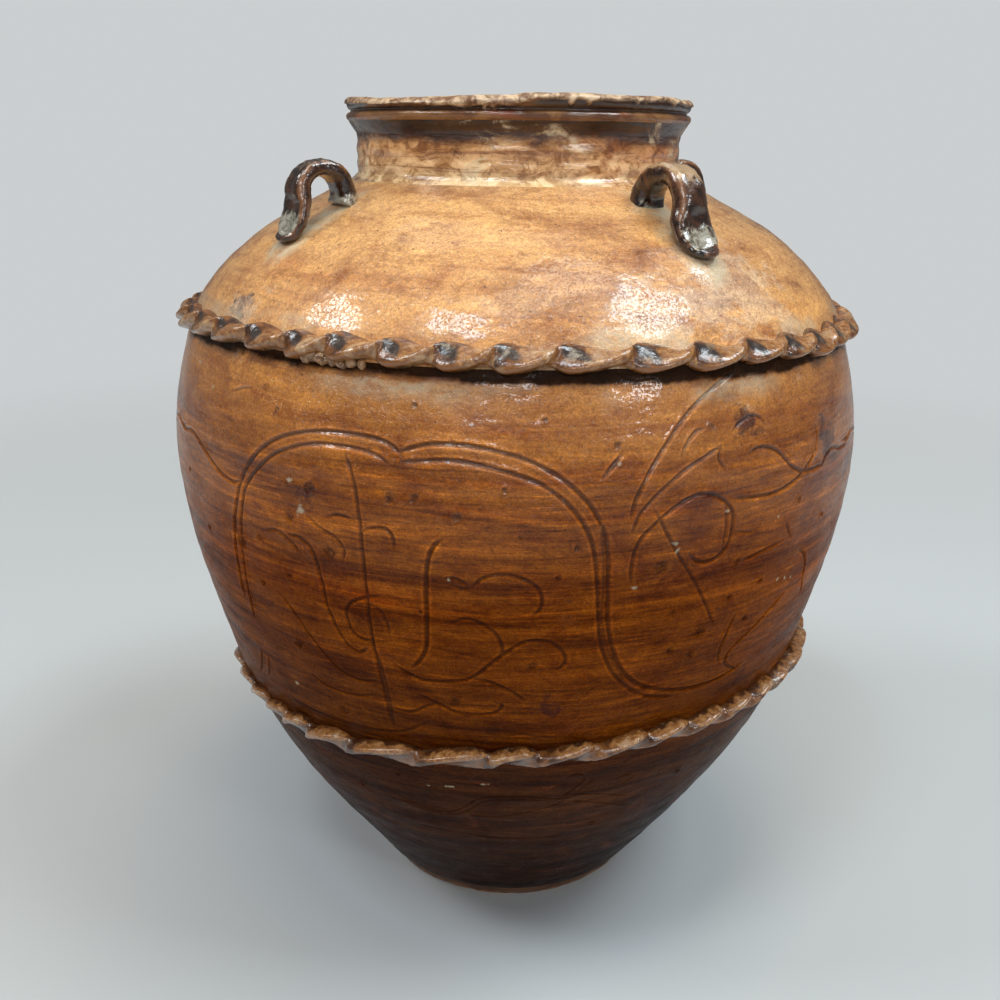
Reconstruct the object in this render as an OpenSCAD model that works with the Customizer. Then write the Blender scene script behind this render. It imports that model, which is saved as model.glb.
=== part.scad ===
// Storage jar of glazed stoneware: thrown wall sections luted one on another, a collar and a
// beaded lip, two twisted clay ropes laid over the joints, and four strap lugs on the shoulder.
// The jar stands on its foot at z = 0. Bearings are degrees from -Y, where the jar shows its
// front, towards +X.

/* [Wall outline] */
// Radius of the foot on the table
foot_r = 85.5; // [78:0.5:92]
// Height of the flank, on the lower cone
flank_z = 100; // [92:1:108]
// Radius of the flank
flank_r = 149.5; // [144:0.5:154]
// Height of the joint under the lower rope
lower_joint_z = 160; // [152:1:168]
// Radius of the wall at the lower joint
lower_joint_r = 175; // [170:0.5:180]
// Height of the widest part of the belly
belly_z = 280; // [270:1:290]
// Radius of the widest part of the belly
belly_r = 199; // [192:0.5:206]
// Height of the joint under the upper rope
upper_joint_z = 360; // [354:1:366]
// Radius of the wall at the upper joint
upper_joint_r = 183.5; // [178:0.5:188]
// Height of the crown of the shoulder
crown_z = 400; // [396:1:404]
// Radius of the crown
crown_r = 150; // [146:0.5:154]
// Height of the shoulder where the collar stands on it
collar_z = 430; // [426:1:434]
// Width of the flat ring on top of the shoulder, on which the collar stands
seat_ring_w = 15; // [13:0.5:20]
// Thickness of the walls
wall_t = 9; // [7:0.5:11]
// Thickness of the base slab
slab_t = 12; // [9:0.5:16]

/* [Collar and lip] */
// Radius of the mouth
mouth_r = 80; // [76:0.5:83]
// Thickness of the collar, in the hollows between its ridges
collar_t = 9.75; // [7:0.25:11]
// Height of the collar, up to the lip
collar_h = 30; // [25:0.5:36]
// Height of the throwing ridges on the collar
ridge_h = 0.8; // [0.4:0.1:2]
// How many throwing ridges the collar has
ridge_n = 3; // [1:1:5]
// Height of the lower bead of the lip
bead_h = 4.5; // [3:0.5:6]
// Height of the upper roll of the lip
roll_h = 8.5; // [7:0.5:11]
// Width of the lip, from the mouth to its outer edge
lip_w = 16; // [14:0.25:19]

/* [Ropes] */
// Half the width of the clay strip that is twisted into a rope
rope_w = 7; // [5.5:0.25:9]
// Half the thickness of the strip
rope_t = 3.6; // [2.6:0.1:4.6]
// How many half turns the upper rope has
upper_twists = 42; // [36:1:48]
// How many half turns the lower rope has
lower_twists = 42; // [36:1:48]
// How far the upper rope stands higher in front than at the back, either way from the middle
upper_tilt = 3; // [0:0.5:5]
// How far the lower rope stands higher at the right than at the left, either way
lower_tilt = 7; // [0:0.5:9]
// How far the lower rope stands higher in front than at the back, either way from the middle
lower_lean = 4; // [0:0.5:5]
// How far the lower rope wanders up and down twice round the jar
lower_sway = 4; // [0:0.5:6]

/* [Lugs] */
// Distance from the collar to the middle of a lug's eye
lug_out = 37.5; // [34:0.5:40]
// Height of the middle of the eye above the shoulder
eye_h = 9.5; // [8:0.5:12]
// Radius of the eye under the arch
eye_r = 9.6; // [8:0.2:11]
// Thickness of the strap
strap_t = 10; // [8:0.2:12]
// Width of the strap
strap_w = 16; // [13:0.5:19]
// Distance from the middle of the eye out to the tip of the tongue
tongue_l = 25; // [22:0.5:28]

/* [Fits] */
// Clearance between the wall and what is laid on it
seat_gap = 0.05; // [0.03:0.01:0.2]

/* [Hidden] */

glaze_dark = "#4a2814";
glaze_brown = "#8a4a1e";
glaze_tan = "#b06a30";
glaze_black = "#33190f";

// The lugs were rolled and pressed on by hand, so no two are alike. For each, its bearing, how much
// further out and higher its eye is, and its shares of the eye, the strap's thickness and width
// and the tongue
lug_rows = [
    [-50, 0, 2, 0.84, 0.90, 1.00, 0.88],
    [35.5, -3.5, -2.5, 0.97, 1.10, 1.10, 1.15],
    [126, 0, 0, 0.92, 0.96, 1.00, 0.96],
    [216, -1, -1, 0.96, 1.04, 1.05, 1.04]];
turn_fn = 144;              // fineness of the turned pieces
wall_step = 8;              // greatest height of one facet of the wall outline
rope_steps = 6;             // rings in each half turn of a rope
rope_cuts = 5;              // divisions across the outer face of a rope
rope_edge = 0.6;            // thinnest edge of a rope
arch_rings = 16;            // rings along the arch of a lug
tongue_rings = 10;          // rings along its tongue
strap_sides = 14;           // points round a strap
arc_steps = 6;              // divisions of each rounding of the lip
lute_h = 11;                // depth of the thickened joint inside the shoulder's mouth
groove_w = 2;               // depth of the groove between the two beads of the lip
mouth_round = 4;            // rounding of the lip into the mouth

wall_stations = [[0, foot_r], [flank_z, flank_r], [lower_joint_z, lower_joint_r],
    [belly_z, belly_r], [upper_joint_z, upper_joint_r], [crown_z, crown_r],
    [collar_z, mouth_r + seat_ring_w]];
last_station = len(wall_stations) - 1;
collar_r = mouth_r + collar_t;
lip_r = mouth_r + lip_w;
lug_r = collar_r + lug_out;
lip_z = collar_z + collar_h;
rim_z = lip_z + bead_h + roll_h;

// Smooth curve between two values, or two points, that leaves and arrives on given slopes
function hermite(a, b, leave, arrive, t) =
    (2 * t ^ 3 - 3 * t ^ 2 + 1) * a + (t ^ 3 - 2 * t ^ 2 + t) * leave
    + (3 * t ^ 2 - 2 * t ^ 3) * b + (t ^ 3 - t ^ 2) * arrive;

// The wall outline: a smooth curve through the stations, as a radius at each height
function station_slope(i) =
    let (a = wall_stations[max(i - 1, 0)], b = wall_stations[min(i + 1, last_station)])
    (b[1] - a[1]) / (b[0] - a[0]);
function span_of(z, i = 0) =
    i >= last_station - 1 || z < wall_stations[i + 1][0] ? i : span_of(z, i + 1);
function wall_r(z) =
    let (i = span_of(z), a = wall_stations[i], b = wall_stations[i + 1], h = b[0] - a[0])
    hermite(a[1], b[1], h * station_slope(i), h * station_slope(i + 1), (z - a[0]) / h);
function wall_normal(z) =
    let (slope = wall_r(z + 0.5) - wall_r(z - 0.5))
    [1, -slope] / sqrt(1 + slope ^ 2);
// Height at which the shoulder has a given radius, found by halving
function shoulder_z(r, low = belly_z, high = collar_z, n = 20) =
    let (mid = (low + high) / 2)
    n == 0 ? mid : wall_r(mid) > r ? shoulder_z(r, mid, high, n - 1)
    : shoulder_z(r, low, mid, n - 1);

// Points of the outline between two heights, moved in from the wall's face by a depth
function skin(from, to, depth) =
    let (n = ceil((to - from) / wall_step))
    [for (i = [0:n])
        let (z = from + (to - from) * i / n)
        [wall_r(z), z] - depth * wall_normal(z)];
function reversed(list) = [for (i = [len(list) - 1:-1:0]) list[i]];
function arc_points(centre, radius, from, to) =
    [for (i = [0:arc_steps])
        let (a = from + (to - from) * i / arc_steps)
        centre + radius * [cos(a), sin(a)]];

module turned(outline) {
    rotate_extrude($fn = turn_fn) polygon(outline);
}

module base_slab() {
    color(glaze_dark)
    turned([[0, 0], [foot_r, 0], [wall_r(slab_t), slab_t], [0, slab_t]]);
}

module lower_wall() {
    seat_w = wall_t / wall_normal(slab_t)[0];
    color(glaze_dark)
    turned(concat(skin(slab_t, lower_joint_z, 0),
        reversed(skin(slab_t, lower_joint_z, wall_t)),
        [[wall_r(slab_t) - seat_w, slab_t]]));
}

module belly_wall() {
    color(glaze_brown)
    turned(concat(skin(lower_joint_z, upper_joint_z, 0),
        reversed(skin(lower_joint_z, upper_joint_z, wall_t))));
}

// The shoulder thickens inwards to a short throat, on which the collar stands
module shoulder_wall() {
    color(glaze_tan)
    turned(concat(skin(upper_joint_z, collar_z, 0),
        [[mouth_r, collar_z], [mouth_r, collar_z - lute_h]],
        reversed(skin(upper_joint_z, collar_z - 2 * lute_h, wall_t))));
}

// Ridges left by the wheel, and a cove that runs out under the lip
module neck_collar() {
    n = 4 * ridge_n;
    cove_h = collar_h / 5;
    cove_w = lip_r - 2 - collar_r;
    ridges = [for (i = [0:n])
        [collar_r + ridge_h * (1 + cos(360 * ridge_n * i / n)) / 2,
            collar_z + (collar_h - cove_h) * i / n]];
    color(glaze_brown)
    turned(concat([[mouth_r, collar_z]], ridges,
        [[collar_r + cove_w / 2, lip_z - cove_h / 3], [collar_r + cove_w, lip_z],
            [mouth_r, lip_z]]));
}

// A bead, a groove and a roll over it, rounded in to the mouth
module lip_ring() {
    bead_round = bead_h / 2;
    roll_round = roll_h * 0.44;
    groove_z = lip_z + bead_h;
    color(glaze_dark)
    turned(concat([[mouth_r, lip_z], [lip_r - 2, lip_z]],
        arc_points([lip_r - 0.5 - bead_round, lip_z + bead_round], bead_round, -60, 60),
        [[lip_r - 0.5 - groove_w, groove_z]],
        arc_points([lip_r - roll_round, rim_z - 0.6 - roll_round], roll_round, -50, 60),
        arc_points([mouth_r + mouth_round, rim_z - mouth_round], mouth_round, 80, 180)));
}

// Height of a rope's middle at a bearing
function lower_rope_z(a) =
    lower_joint_z + lower_tilt * sin(a + 5) + lower_lean * cos(a) + lower_sway * sin(2 * a + 10);
function upper_rope_z(a) =
    upper_joint_z + upper_tilt * cos(a + 10) + upper_tilt / 2 * cos(2 * a + 20);

// One ring of a rope, as bearing, height and radius: a strip of oval section turned by its
// twist, seen from outside, and filled in behind down to the wall
function rope_ring(a, mid_z, twist) =
    let (rise = sqrt((rope_w * sin(twist)) ^ 2 + (rope_t * cos(twist)) ^ 2),
        lean = (rope_w ^ 2 - rope_t ^ 2) * sin(twist) * cos(twist))
    concat(
        [for (j = [0:rope_cuts])
            let (up = -rise * cos(180 * j / rope_cuts),
                out = (lean * up + rope_w * rope_t * sqrt(rise ^ 2 - up ^ 2)) / rise ^ 2,
                z = mid_z + up)
            [a, z, wall_r(z) + seat_gap + max(rope_edge, out)]],
        [for (j = [2:-1:-2])
            let (z = mid_z + rise * j / 2)
            [a, z, wall_r(z) + seat_gap]]);

// A rope, closed on itself, from the twist and the height of each of its rings
module rope(heights, half_turns) {
    n = len(heights);
    rings = [for (i = [0:n - 1])
        rope_ring(360 * i / n, heights[i], 180 * half_turns * i / n)];
    sides = len(rings[0]);
    polyhedron(
        points = [for (ring = rings) each [for (p = ring)
            [p[2] * sin(p[0]), -p[2] * cos(p[0]), p[1]]]],
        faces = [for (i = [0:n - 1], j = [0:sides - 1])
            let (next = (i + 1) % n, k = (j + 1) % sides)
            each [[i * sides + j, next * sides + j, i * sides + k],
                [i * sides + k, next * sides + j, next * sides + k]]]);
}

module lower_rope_band() {
    n = lower_twists * rope_steps;
    color(glaze_tan)
    rope([for (i = [0:n - 1]) lower_rope_z(360 * i / n)], lower_twists);
}

module upper_rope_band() {
    n = upper_twists * rope_steps;
    color(glaze_tan)
    rope([for (i = [0:n - 1]) upper_rope_z(360 * i / n)], upper_twists);
}

// The line down the middle of a lug's strap, out from the jar's axis and up: it leaves the
// shoulder beside the collar, arches over the eye, and runs out as a tongue on the shoulder
strap_rings = arch_rings + tongue_rings;
function eye_middle(k) =
    let (r = lug_r + lug_rows[k][1]) [r, shoulder_z(r) + eye_h + lug_rows[k][2]];
function thick_of(k) = strap_t * lug_rows[k][4];
function line_radius(k) = eye_r * lug_rows[k][3] + thick_of(k) / 2;
function strap_line(k, i) =
    i <= arch_rings
    ? let (a = 208 * (1 - i / arch_rings))
        eye_middle(k) + line_radius(k) * [cos(a), sin(a)]
    : let (long = tongue_l * lug_rows[k][6], tip_r = eye_middle(k)[0] + long,
        tip_normal = wall_normal(shoulder_z(tip_r)))
        hermite(eye_middle(k) + [line_radius(k), 0],
            [tip_r, shoulder_z(tip_r)] + thick_of(k) * 0.2 * tip_normal,
            [0, -long], long * [tip_normal[1], -tip_normal[0]],
            (i - arch_rings) / tongue_rings);
// Share of the full width and thickness that the strap has at each of its rings
function strap_share(i) =
    i <= arch_rings
    ? let (side = abs(i / arch_rings - 0.6))
        [0.86 + 0.5 * side, 0.96 + 0.3 * side]
    : let (t = (i - arch_rings) / tongue_rings)
        [1.06 + 0.3 * sin(180 * t) - 0.5 * t ^ 4, 1.08 - 0.4 * t - 0.36 * t ^ 4];
function strap_ring(k, i) =
    let (here = strap_line(k, i), along = strap_line(k, min(i + 1, strap_rings))
            - strap_line(k, max(i - 1, 0)),
        out = [-along[1], along[0]] / norm(along),
        half = [strap_w * lug_rows[k][5] * strap_share(i)[0], thick_of(k) * strap_share(i)[1]] / 2)
    [for (j = [0:strap_sides - 1])
        let (a = 360 * j / strap_sides, p = here + half[1] * sin(a) * out)
        [p[0], half[0] * cos(a), p[1]]];

module strap(k) {
    sides = strap_sides;
    polyhedron(
        points = [for (i = [0:strap_rings]) each strap_ring(k, i)],
        faces = concat(
            [for (i = [0:strap_rings - 1], j = [0:sides - 1])
                let (m = (j + 1) % sides)
                each [[i * sides + j, i * sides + m, (i + 1) * sides + j],
                    [i * sides + m, (i + 1) * sides + m, (i + 1) * sides + j]]],
            [[for (j = [sides - 1:-1:0]) j]],
            [[for (j = [0:sides - 1]) strap_rings * sides + j]]));
}

// A lug is the strap, cut off where it meets the shoulder
module lug(k) {
    color(glaze_black)
    rotate([0, 0, lug_rows[k][0] - 90])
    difference() {
        strap(k);
        turned(concat([[0, upper_joint_z]], skin(upper_joint_z, collar_z, -seat_gap),
            [[0, collar_z]]));
    }
}

module lug_front_left() {
    lug(0);
}

module lug_front_right() {
    lug(1);
}

module lug_back_right() {
    lug(2);
}

module lug_back_left() {
    lug(3);
}

base_slab();
lower_wall();
belly_wall();
shoulder_wall();
neck_collar();
lip_ring();
lower_rope_band();
upper_rope_band();
lug_front_left();
lug_front_right();
lug_back_right();
lug_back_left();
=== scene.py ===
import math
import random

import bmesh
import bpy
from mathutils import Matrix, Vector, noise
from mathutils.kdtree import KDTree


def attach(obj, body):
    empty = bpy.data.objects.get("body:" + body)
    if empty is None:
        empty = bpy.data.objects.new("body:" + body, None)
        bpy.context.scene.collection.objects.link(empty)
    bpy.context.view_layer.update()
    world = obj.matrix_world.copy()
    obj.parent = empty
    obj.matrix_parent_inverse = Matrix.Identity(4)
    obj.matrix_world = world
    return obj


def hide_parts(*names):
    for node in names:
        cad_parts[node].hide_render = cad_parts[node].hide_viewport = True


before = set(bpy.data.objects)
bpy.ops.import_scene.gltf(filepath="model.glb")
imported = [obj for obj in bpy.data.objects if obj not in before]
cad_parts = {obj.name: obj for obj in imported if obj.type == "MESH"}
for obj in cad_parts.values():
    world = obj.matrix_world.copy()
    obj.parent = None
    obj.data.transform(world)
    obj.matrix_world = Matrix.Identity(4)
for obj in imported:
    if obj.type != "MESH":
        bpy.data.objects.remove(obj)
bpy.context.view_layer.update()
print("stage: frame loaded")

# Shapes are drawn in millimetres and made metres when a piece is finished.
# A bearing is the angle from the front, -Y, round towards +X.
jar = {
    "stations": [(0, 85.5), (100, 149.5), (160, 175), (280, 199), (360, 183.5), (400, 150), (430, 95)],
    "wall": 9, "slab": 12, "mouth": 80, "lute": 11,
    "lowerJoint": 160, "upperJoint": 360, "collarFoot": 430, "lipFoot": 460, "rim": 473,
    "widest": 198.9,
}


def hermite(a, b, leave, arrive, t):
    return ((2 * t ** 3 - 3 * t ** 2 + 1) * a + (t ** 3 - 2 * t ** 2 + t) * leave
            + (3 * t ** 2 - 2 * t ** 3) * b + (t ** 3 - t ** 2) * arrive)


def stationSlope(i):
    low = jar["stations"][max(i - 1, 0)]
    high = jar["stations"][min(i + 1, len(jar["stations"]) - 1)]
    return (high[1] - low[1]) / (high[0] - low[0])


slopes = [stationSlope(i) for i in range(len(jar["stations"]))]


def exactRadius(z):
    i = 0
    while i < len(jar["stations"]) - 2 and z >= jar["stations"][i + 1][0]:
        i += 1
    (za, ra), (zb, rb) = jar["stations"][i], jar["stations"][i + 1]
    h = zb - za
    return hermite(ra, rb, h * slopes[i], h * slopes[i + 1], (z - za) / h)


# radii at every tenth of a millimetre, because the radius is asked for very often
radii = [exactRadius(i / 10) for i in range(4400)]


def wallRadius(z):
    step = min(max(z * 10, 0), len(radii) - 2)
    i = int(step)
    return radii[i] + (radii[i + 1] - radii[i]) * (step - i)


def wallNormal(z):
    slope = wallRadius(z + 0.5) - wallRadius(z - 0.5)
    size = math.hypot(1, slope)
    return 1 / size, -slope / size


def shoulderHeight(radius):
    low, high = jar["stations"][3][0], jar["collarFoot"]
    for _ in range(30):
        mid = (low + high) / 2
        low, high = (mid, high) if wallRadius(mid) > radius else (low, mid)
    return low


def onJar(bearing, radius, z):
    a = math.radians(bearing)
    return Vector((radius * math.sin(a), -radius * math.cos(a), z))


def bearingOf(point):
    return math.degrees(math.atan2(point[0], -point[1]))


def polar(point):
    return bearingOf(point), math.hypot(point[0], point[1]), point[2]


def ease(low, high, value):
    t = min(max((value - low) / (high - low), 0), 1)
    return t * t * (3 - 2 * t)


def ripple(point, size, seed=0):
    return noise.noise(Vector(point) / size + Vector((seed * 7.3, seed * 3.1, seed * 5.7)))


def skin(low, high, step, depth=0):
    # outline of the wall from low to high, at a depth under its surface
    count = math.ceil((high - low) / step)
    points = []
    for i in range(count + 1):
        z = low + (high - low) * i / count
        across, up = wallNormal(z)
        points.append((wallRadius(z) - depth * across, z - depth * up))
    return points


def spinRound(bm, geom, steps, weld):
    bmesh.ops.spin(bm, geom=geom, cent=(0, 0, 0), axis=(0, 0, 1), dvec=(0, 0, 0),
                   angle=math.tau, steps=steps, use_merge=True)
    bmesh.ops.remove_doubles(bm, verts=bm.verts, dist=weld)


def spinOutline(outline, steps, closed=True):
    bm = bmesh.new()
    verts = [bm.verts.new((r, 0, z)) for r, z in outline]
    pairs = list(zip(verts, verts[1:])) + ([(verts[-1], verts[0])] if closed else [])
    edges = [bm.edges.new(pair) for pair in pairs]
    spinRound(bm, verts + edges, steps, 0.001)
    bmesh.ops.recalc_face_normals(bm, faces=bm.faces)
    return bm


def newLayers(bm, *names):
    for name in names:
        bm.verts.layers.float.new(name)
    return {name: bm.verts.layers.float[name] for name in names}


def setMarks(vert, layers, **marks):
    for name, value in marks.items():
        vert[layers[name]] = value


def finishPiece(bm, name, nodes, material, crisp=False):
    bmesh.ops.recalc_face_normals(bm, faces=bm.faces)
    bmesh.ops.scale(bm, vec=(0.001, 0.001, 0.001), verts=bm.verts)
    mesh = bpy.data.meshes.new(name)
    bm.to_mesh(mesh)
    bm.free()
    mesh.shade_smooth()
    mesh.materials.append(material)
    if crisp:
        mesh.set_sharp_from_angle(angle=math.radians(62))
    piece = bpy.data.objects.new(name, mesh)
    bpy.context.scene.collection.objects.link(piece)
    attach(piece, "root")
    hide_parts(*nodes)
    triangles = sum(len(face.vertices) - 2 for face in mesh.polygons)
    print("piece:", name, len(mesh.vertices), "vertices,", triangles, "triangles")


# Marks scratched in the belly, as (weight, [(bearing, height), ...])
ornament = {
    "front": [
        (1.0, [(-44.9, 231), (-44.2, 252), (-43.5, 267), (-42, 285), (-40, 301), (-37, 314), (-33, 323),
               (-27.5, 328.5), (-22, 330), (-17, 328.6), (-14.4, 324)]),
        (1.0, [(-14.4, 325), (-11, 328.5), (-6, 329), (0, 325.5), (4, 320), (7.5, 312), (10.3, 301),
               (12, 286), (12.6, 262), (13.2, 243), (15, 224), (18, 210), (22, 202), (27, 197), (32, 195.7),
               (37, 198), (39.5, 201)]),
        (0.8, [(-43.8, 219), (-42.8, 247), (-41.5, 272), (-39.8, 293), (-37, 306), (-33, 316.5),
               (-27.5, 323), (-22, 324.3), (-18, 322.5), (-16, 319.5)]),
        (0.85, [(-14.3, 320.5), (-11, 321.7), (-7, 322.3), (-1, 318.7), (4, 312.5), (8, 300.5), (10.3, 284),
                (11.4, 257), (12.3, 236), (14.5, 218), (17.5, 206), (21, 198), (26, 193.5)]),
        (0.35, [(11.2, 296), (11.9, 270), (12.2, 246), (14, 227), (16.6, 212)]),
        (0.7, [(-62.4, 310), (-60, 308.6), (-57, 310.5), (-54, 309), (-50, 303.6), (-46, 298),
               (-42.5, 295.7), (-40.6, 298)]),
        (0.4, [(-45, 337), (-42.4, 340), (-40, 341.5)]),
        (0.75, [(-22, 321), (-20.6, 309), (-19.8, 290), (-19.6, 262), (-19.6, 232), (-19.2, 208),
                (-18.8, 178)]),
        (0.55, [(-19.2, 222), (-18.5, 202), (-18.5, 176)]),
        (0.6, [(-25.2, 290.7), (-23, 293.3), (-20.6, 292)]),
        (0.7, [(-19.3, 288), (-17.7, 290), (-16.2, 289.8), (-15.3, 286.6), (-15.1, 281)]),
        (0.6, [(-27.9, 290), (-26, 285.6), (-23.6, 282.2), (-22.4, 277), (-22.7, 271.5)]),
        (0.6, [(-36.3, 276.4), (-34.3, 278.6), (-32.4, 277.6), (-30.9, 273.6), (-29.5, 270)]),
        (0.75, [(-31.3, 278.6), (-29, 277.6), (-27.4, 272), (-26.6, 260), (-26.3, 246), (-25.4, 234),
                (-24, 225.4), (-22.2, 221.3), (-20.6, 225)]),
        (0.7, [(-17.5, 256), (-20, 253.5), (-22.2, 249.4), (-23.2, 243), (-22.8, 234), (-21.6, 230),
               (-20, 229.5)]),
        (0.6, [(-19, 250), (-17.7, 247.3), (-17, 241), (-16.9, 234)]),
        (0.6, [(-35, 243), (-33, 235), (-31, 225), (-29, 216), (-26.7, 208), (-24.5, 204.3), (-22.4, 203.5),
               (-20, 205.7)]),
        (0.5, [(-32.4, 197), (-30.5, 193.2), (-28, 191.8), (-25.2, 192), (-22.7, 193.6), (-20.6, 196.4)]),
        (0.6, [(-23, 171), (-20, 172), (-17, 174.5), (-14.5, 179.5), (-12.5, 184)]),
        (0.6, [(-45.6, 196), (-46.5, 190), (-47.9, 182.5), (-49.9, 175)]),
        (0.5, [(-43.8, 194), (-44.9, 186), (-46.3, 178)]),
        (0.95, [(-8.7, 288), (-9.9, 284), (-10.8, 275), (-11.1, 260), (-11.3, 243), (-11.7, 230),
                (-12.7, 223), (-14, 217.5)]),
        (0.75, [(-16.8, 218), (-15, 214), (-12.6, 211), (-9.5, 211.6), (-6.5, 213.5), (-4.6, 217.5),
                (-2.5, 225), (-0.3, 232), (1.8, 237.3), (4.2, 238), (6, 235.6), (7.3, 230.5), (7.6, 225.5),
                (6.9, 222), (5.8, 221.5)]),
        (0.75, [(-5, 265.5), (-3.8, 270), (-2.2, 272.2), (-0.3, 272.4), (1.7, 270.2), (3.4, 265.8),
                (4, 260.5), (3.8, 255), (2.8, 251.5)]),
        (0.65, [(-8.4, 269), (-7.3, 269.6), (-6, 267.5), (-5.3, 265)]),
        (0.6, [(-7.6, 266), (-6, 264.5), (-4.8, 265.6)]),
        (0.7, [(-7.9, 246), (-6.4, 248.6), (-4.8, 248.4), (-3.2, 245.4), (-1.9, 241.5), (-1.2, 236),
               (-1, 230)]),
        (0.6, [(-4.8, 214.5), (-3, 213.5), (-1, 210.5), (1, 206), (2.3, 202)]),
        (0.65, [(-18.6, 189.5), (-16.5, 188.8), (-14.5, 190), (-12.5, 194.5), (-10.8, 197)]),
        (0.75, [(-13.5, 201.5), (-12, 199), (-10, 196), (-8, 192.7), (-5.5, 192), (-3, 193), (-1.5, 195.5),
                (-1.1, 199), (-2.2, 201)]),
        (0.4, [(0, 178.5), (2, 179.8), (5, 178), (8, 177)]),
        (0.9, [(11.3, 315.5), (13.9, 325)]),
        (0.85, [(15, 297), (15.8, 306), (17.6, 317), (20, 328), (23, 338.5), (26.5, 347), (30, 352.6),
                (32.1, 355)]),
        (0.7, [(15.3, 291), (16.4, 299), (19, 307.5), (22.4, 315.5), (26, 321), (28.4, 324.3)]),
        (0.65, [(28.4, 324.3), (27.9, 319), (28.9, 313.6)]),
        (0.6, [(22.2, 322.5), (23.2, 328), (24.6, 332), (25.7, 332.6)]),
        (0.75, [(15.7, 266), (15.6, 277), (16.4, 286), (18.6, 294), (21, 299.5), (24, 303.8), (26.6, 303.4),
                (29, 299), (30.4, 293), (30.5, 286), (30.1, 278), (28.7, 272.6), (26.9, 270.8),
                (25.2, 272.2), (23.8, 276.2)]),
        (0.5, [(29.1, 298), (29.4, 287), (29.1, 276)]),
        (0.65, [(18.3, 300), (20.4, 287), (22.6, 275), (24.5, 265.7), (26.6, 254.5), (28.4, 244.5),
                (30, 235)]),
        (0.8, [(33.2, 319.3), (35, 320.3), (37.1, 319.3), (38.9, 316.4), (40.4, 312), (42, 307.5),
               (44.3, 304), (47.1, 303), (50, 303)]),
        (0.75, [(30.7, 299.3), (34.3, 298), (38, 297.6), (41.4, 299.4), (44.3, 303), (46.5, 308), (48, 313),
                (48.4, 319), (48.2, 323.6)]),
        (0.7, [(30.4, 330), (31.6, 332.8), (33.6, 335), (35.4, 334), (36.3, 330.7)]),
        (0.6, [(50, 303), (52, 307.4), (54.5, 308.4), (57.5, 305.4), (61.6, 304.3)]),
        (0.4, [(30.7, 283.6), (32.5, 282), (35, 280.7)]),
        (0.55, [(33.2, 267), (37.1, 269), (41.4, 270.7)]),
        (0.6, [(41.4, 280), (43.2, 270.7)]),
        (0.6, [(46.3, 261.4), (48.8, 256), (50.4, 248), (51, 240), (52.9, 228.6)]),
        (0.6, [(34.3, 237), (33.4, 226), (32.9, 216), (33.6, 207)]),
        (0.7, [(45.4, 237), (42.1, 229), (38.6, 222), (35.8, 215.6), (34.9, 210.4), (35.2, 205.4),
               (36.8, 201.6), (38.6, 199.3)]),
    ],
    "cone": [
        (0.45, [(-21.1, 120.6), (-16.7, 114.5), (-12, 114.1), (-8.8, 119.2), (-5.1, 130.5), (-1.5, 132.8),
                (4, 132.9), (9.7, 129.5), (12.4, 132.8)]),
        (0.35, [(-21.5, 118), (-16.5, 111.6), (-11.6, 111.6), (-8, 117), (-4.4, 127.6), (-1.2, 130.2),
                (3.6, 130.4), (9.4, 127.4)]),
        (0.4, [(10.9, 133.5), (17, 129.1), (24, 121.3)]),
        (0.4, [(11.2, 126.8), (17.6, 120.7), (25.3, 110.3)]),
        (0.3, [(-7.2, 114.2), (-2.4, 114.4), (2.8, 117.9), (5.7, 121.1), (8.5, 123.9), (11.2, 130)]),
        (0.3, [(-20.2, 93.4), (-13.4, 92.7), (-8.3, 93.1), (0, 90.5), (11.9, 90.1)]),
        (0.4, [(9.6, 131), (12.8, 141.4), (13.3, 147.1), (11.8, 149.6), (10.2, 148), (10.6, 145)]),
        (0.3, [(12.4, 134), (14.4, 141), (15.2, 145)]),
        (0.3, [(-10.2, 143.4), (-8.9, 145.4), (-7, 145), (-6.2, 142.6)]),
        (0.3, [(19.6, 140.2), (21, 141.6), (22.6, 140.6), (22.6, 137.4), (21, 136.2)]),
    ],
    "halfWidth": 1.4, "depth": 1.15, "burr": 0.3, "taper": 5.0, "step": 0.35,
    # the same marks are guessed again round the back: (turn, mirrored, lift)
    "back": [(122, False, -2), (238, True, 1)],
    "backWeight": 0.66,
}
# Pits burnt through the glaze, as (bearing, height, radius, depth)
pits = [
    (-7, 297.5, 2.4, 0.9), (8.3, 284.5, 2.0, 0.8), (-12.4, 305, 2.2, 0.8), (-15.7, 304, 2.6, 0.9),
    (-13, 344, 1.6, 0.5), (19.8, 271.5, 3.4, 1.1), (13.3, 329, 1.9, 0.7), (6, 270.3, 1.6, 0.6),
    (-1, 311, 1.4, 0.5), (27, 333, 1.8, 0.6), (32.3, 267, 1.8, 0.7), (22.5, 245.7, 2.0, 0.7),
    (32, 248, 2.0, 0.7), (28, 231.4, 2.8, 0.8), (36.4, 232, 2.2, 0.7), (23.2, 224.3, 2.4, 0.7),
    (27.1, 218.6, 2.4, 0.7), (-38.3, 245.7, 2.0, 0.7), (-32.4, 255.7, 2.0, 0.6), (-33.6, 215, 2.6, 0.7),
    (-37.2, 271.4, 2.0, 0.6), (-57.4, 288.6, 2.2, 0.7), (-41.8, 265, 3.4, 0.8), (-24.9, 273.6, 3.8, 0.9),
    (-27.7, 178.6, 3.0, 0.6), (-2.5, 182, 3.0, 0.6), (3, 223, 2.4, 0.6), (-8, 200, 2.8, 0.6),
    (-31, 287, 2.6, 0.7), (-27.4, 303.6, 2.8, 0.7), (-12, 250, 1.3, 0.4), (1, 290, 1.2, 0.4),
    (38, 252, 1.6, 0.5), (44, 290, 1.8, 0.6), (4, 340, 1.3, 0.4), (-34, 335, 1.6, 0.5),
    (-52, 262, 1.8, 0.6), (52, 275, 1.6, 0.5),
]
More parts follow.
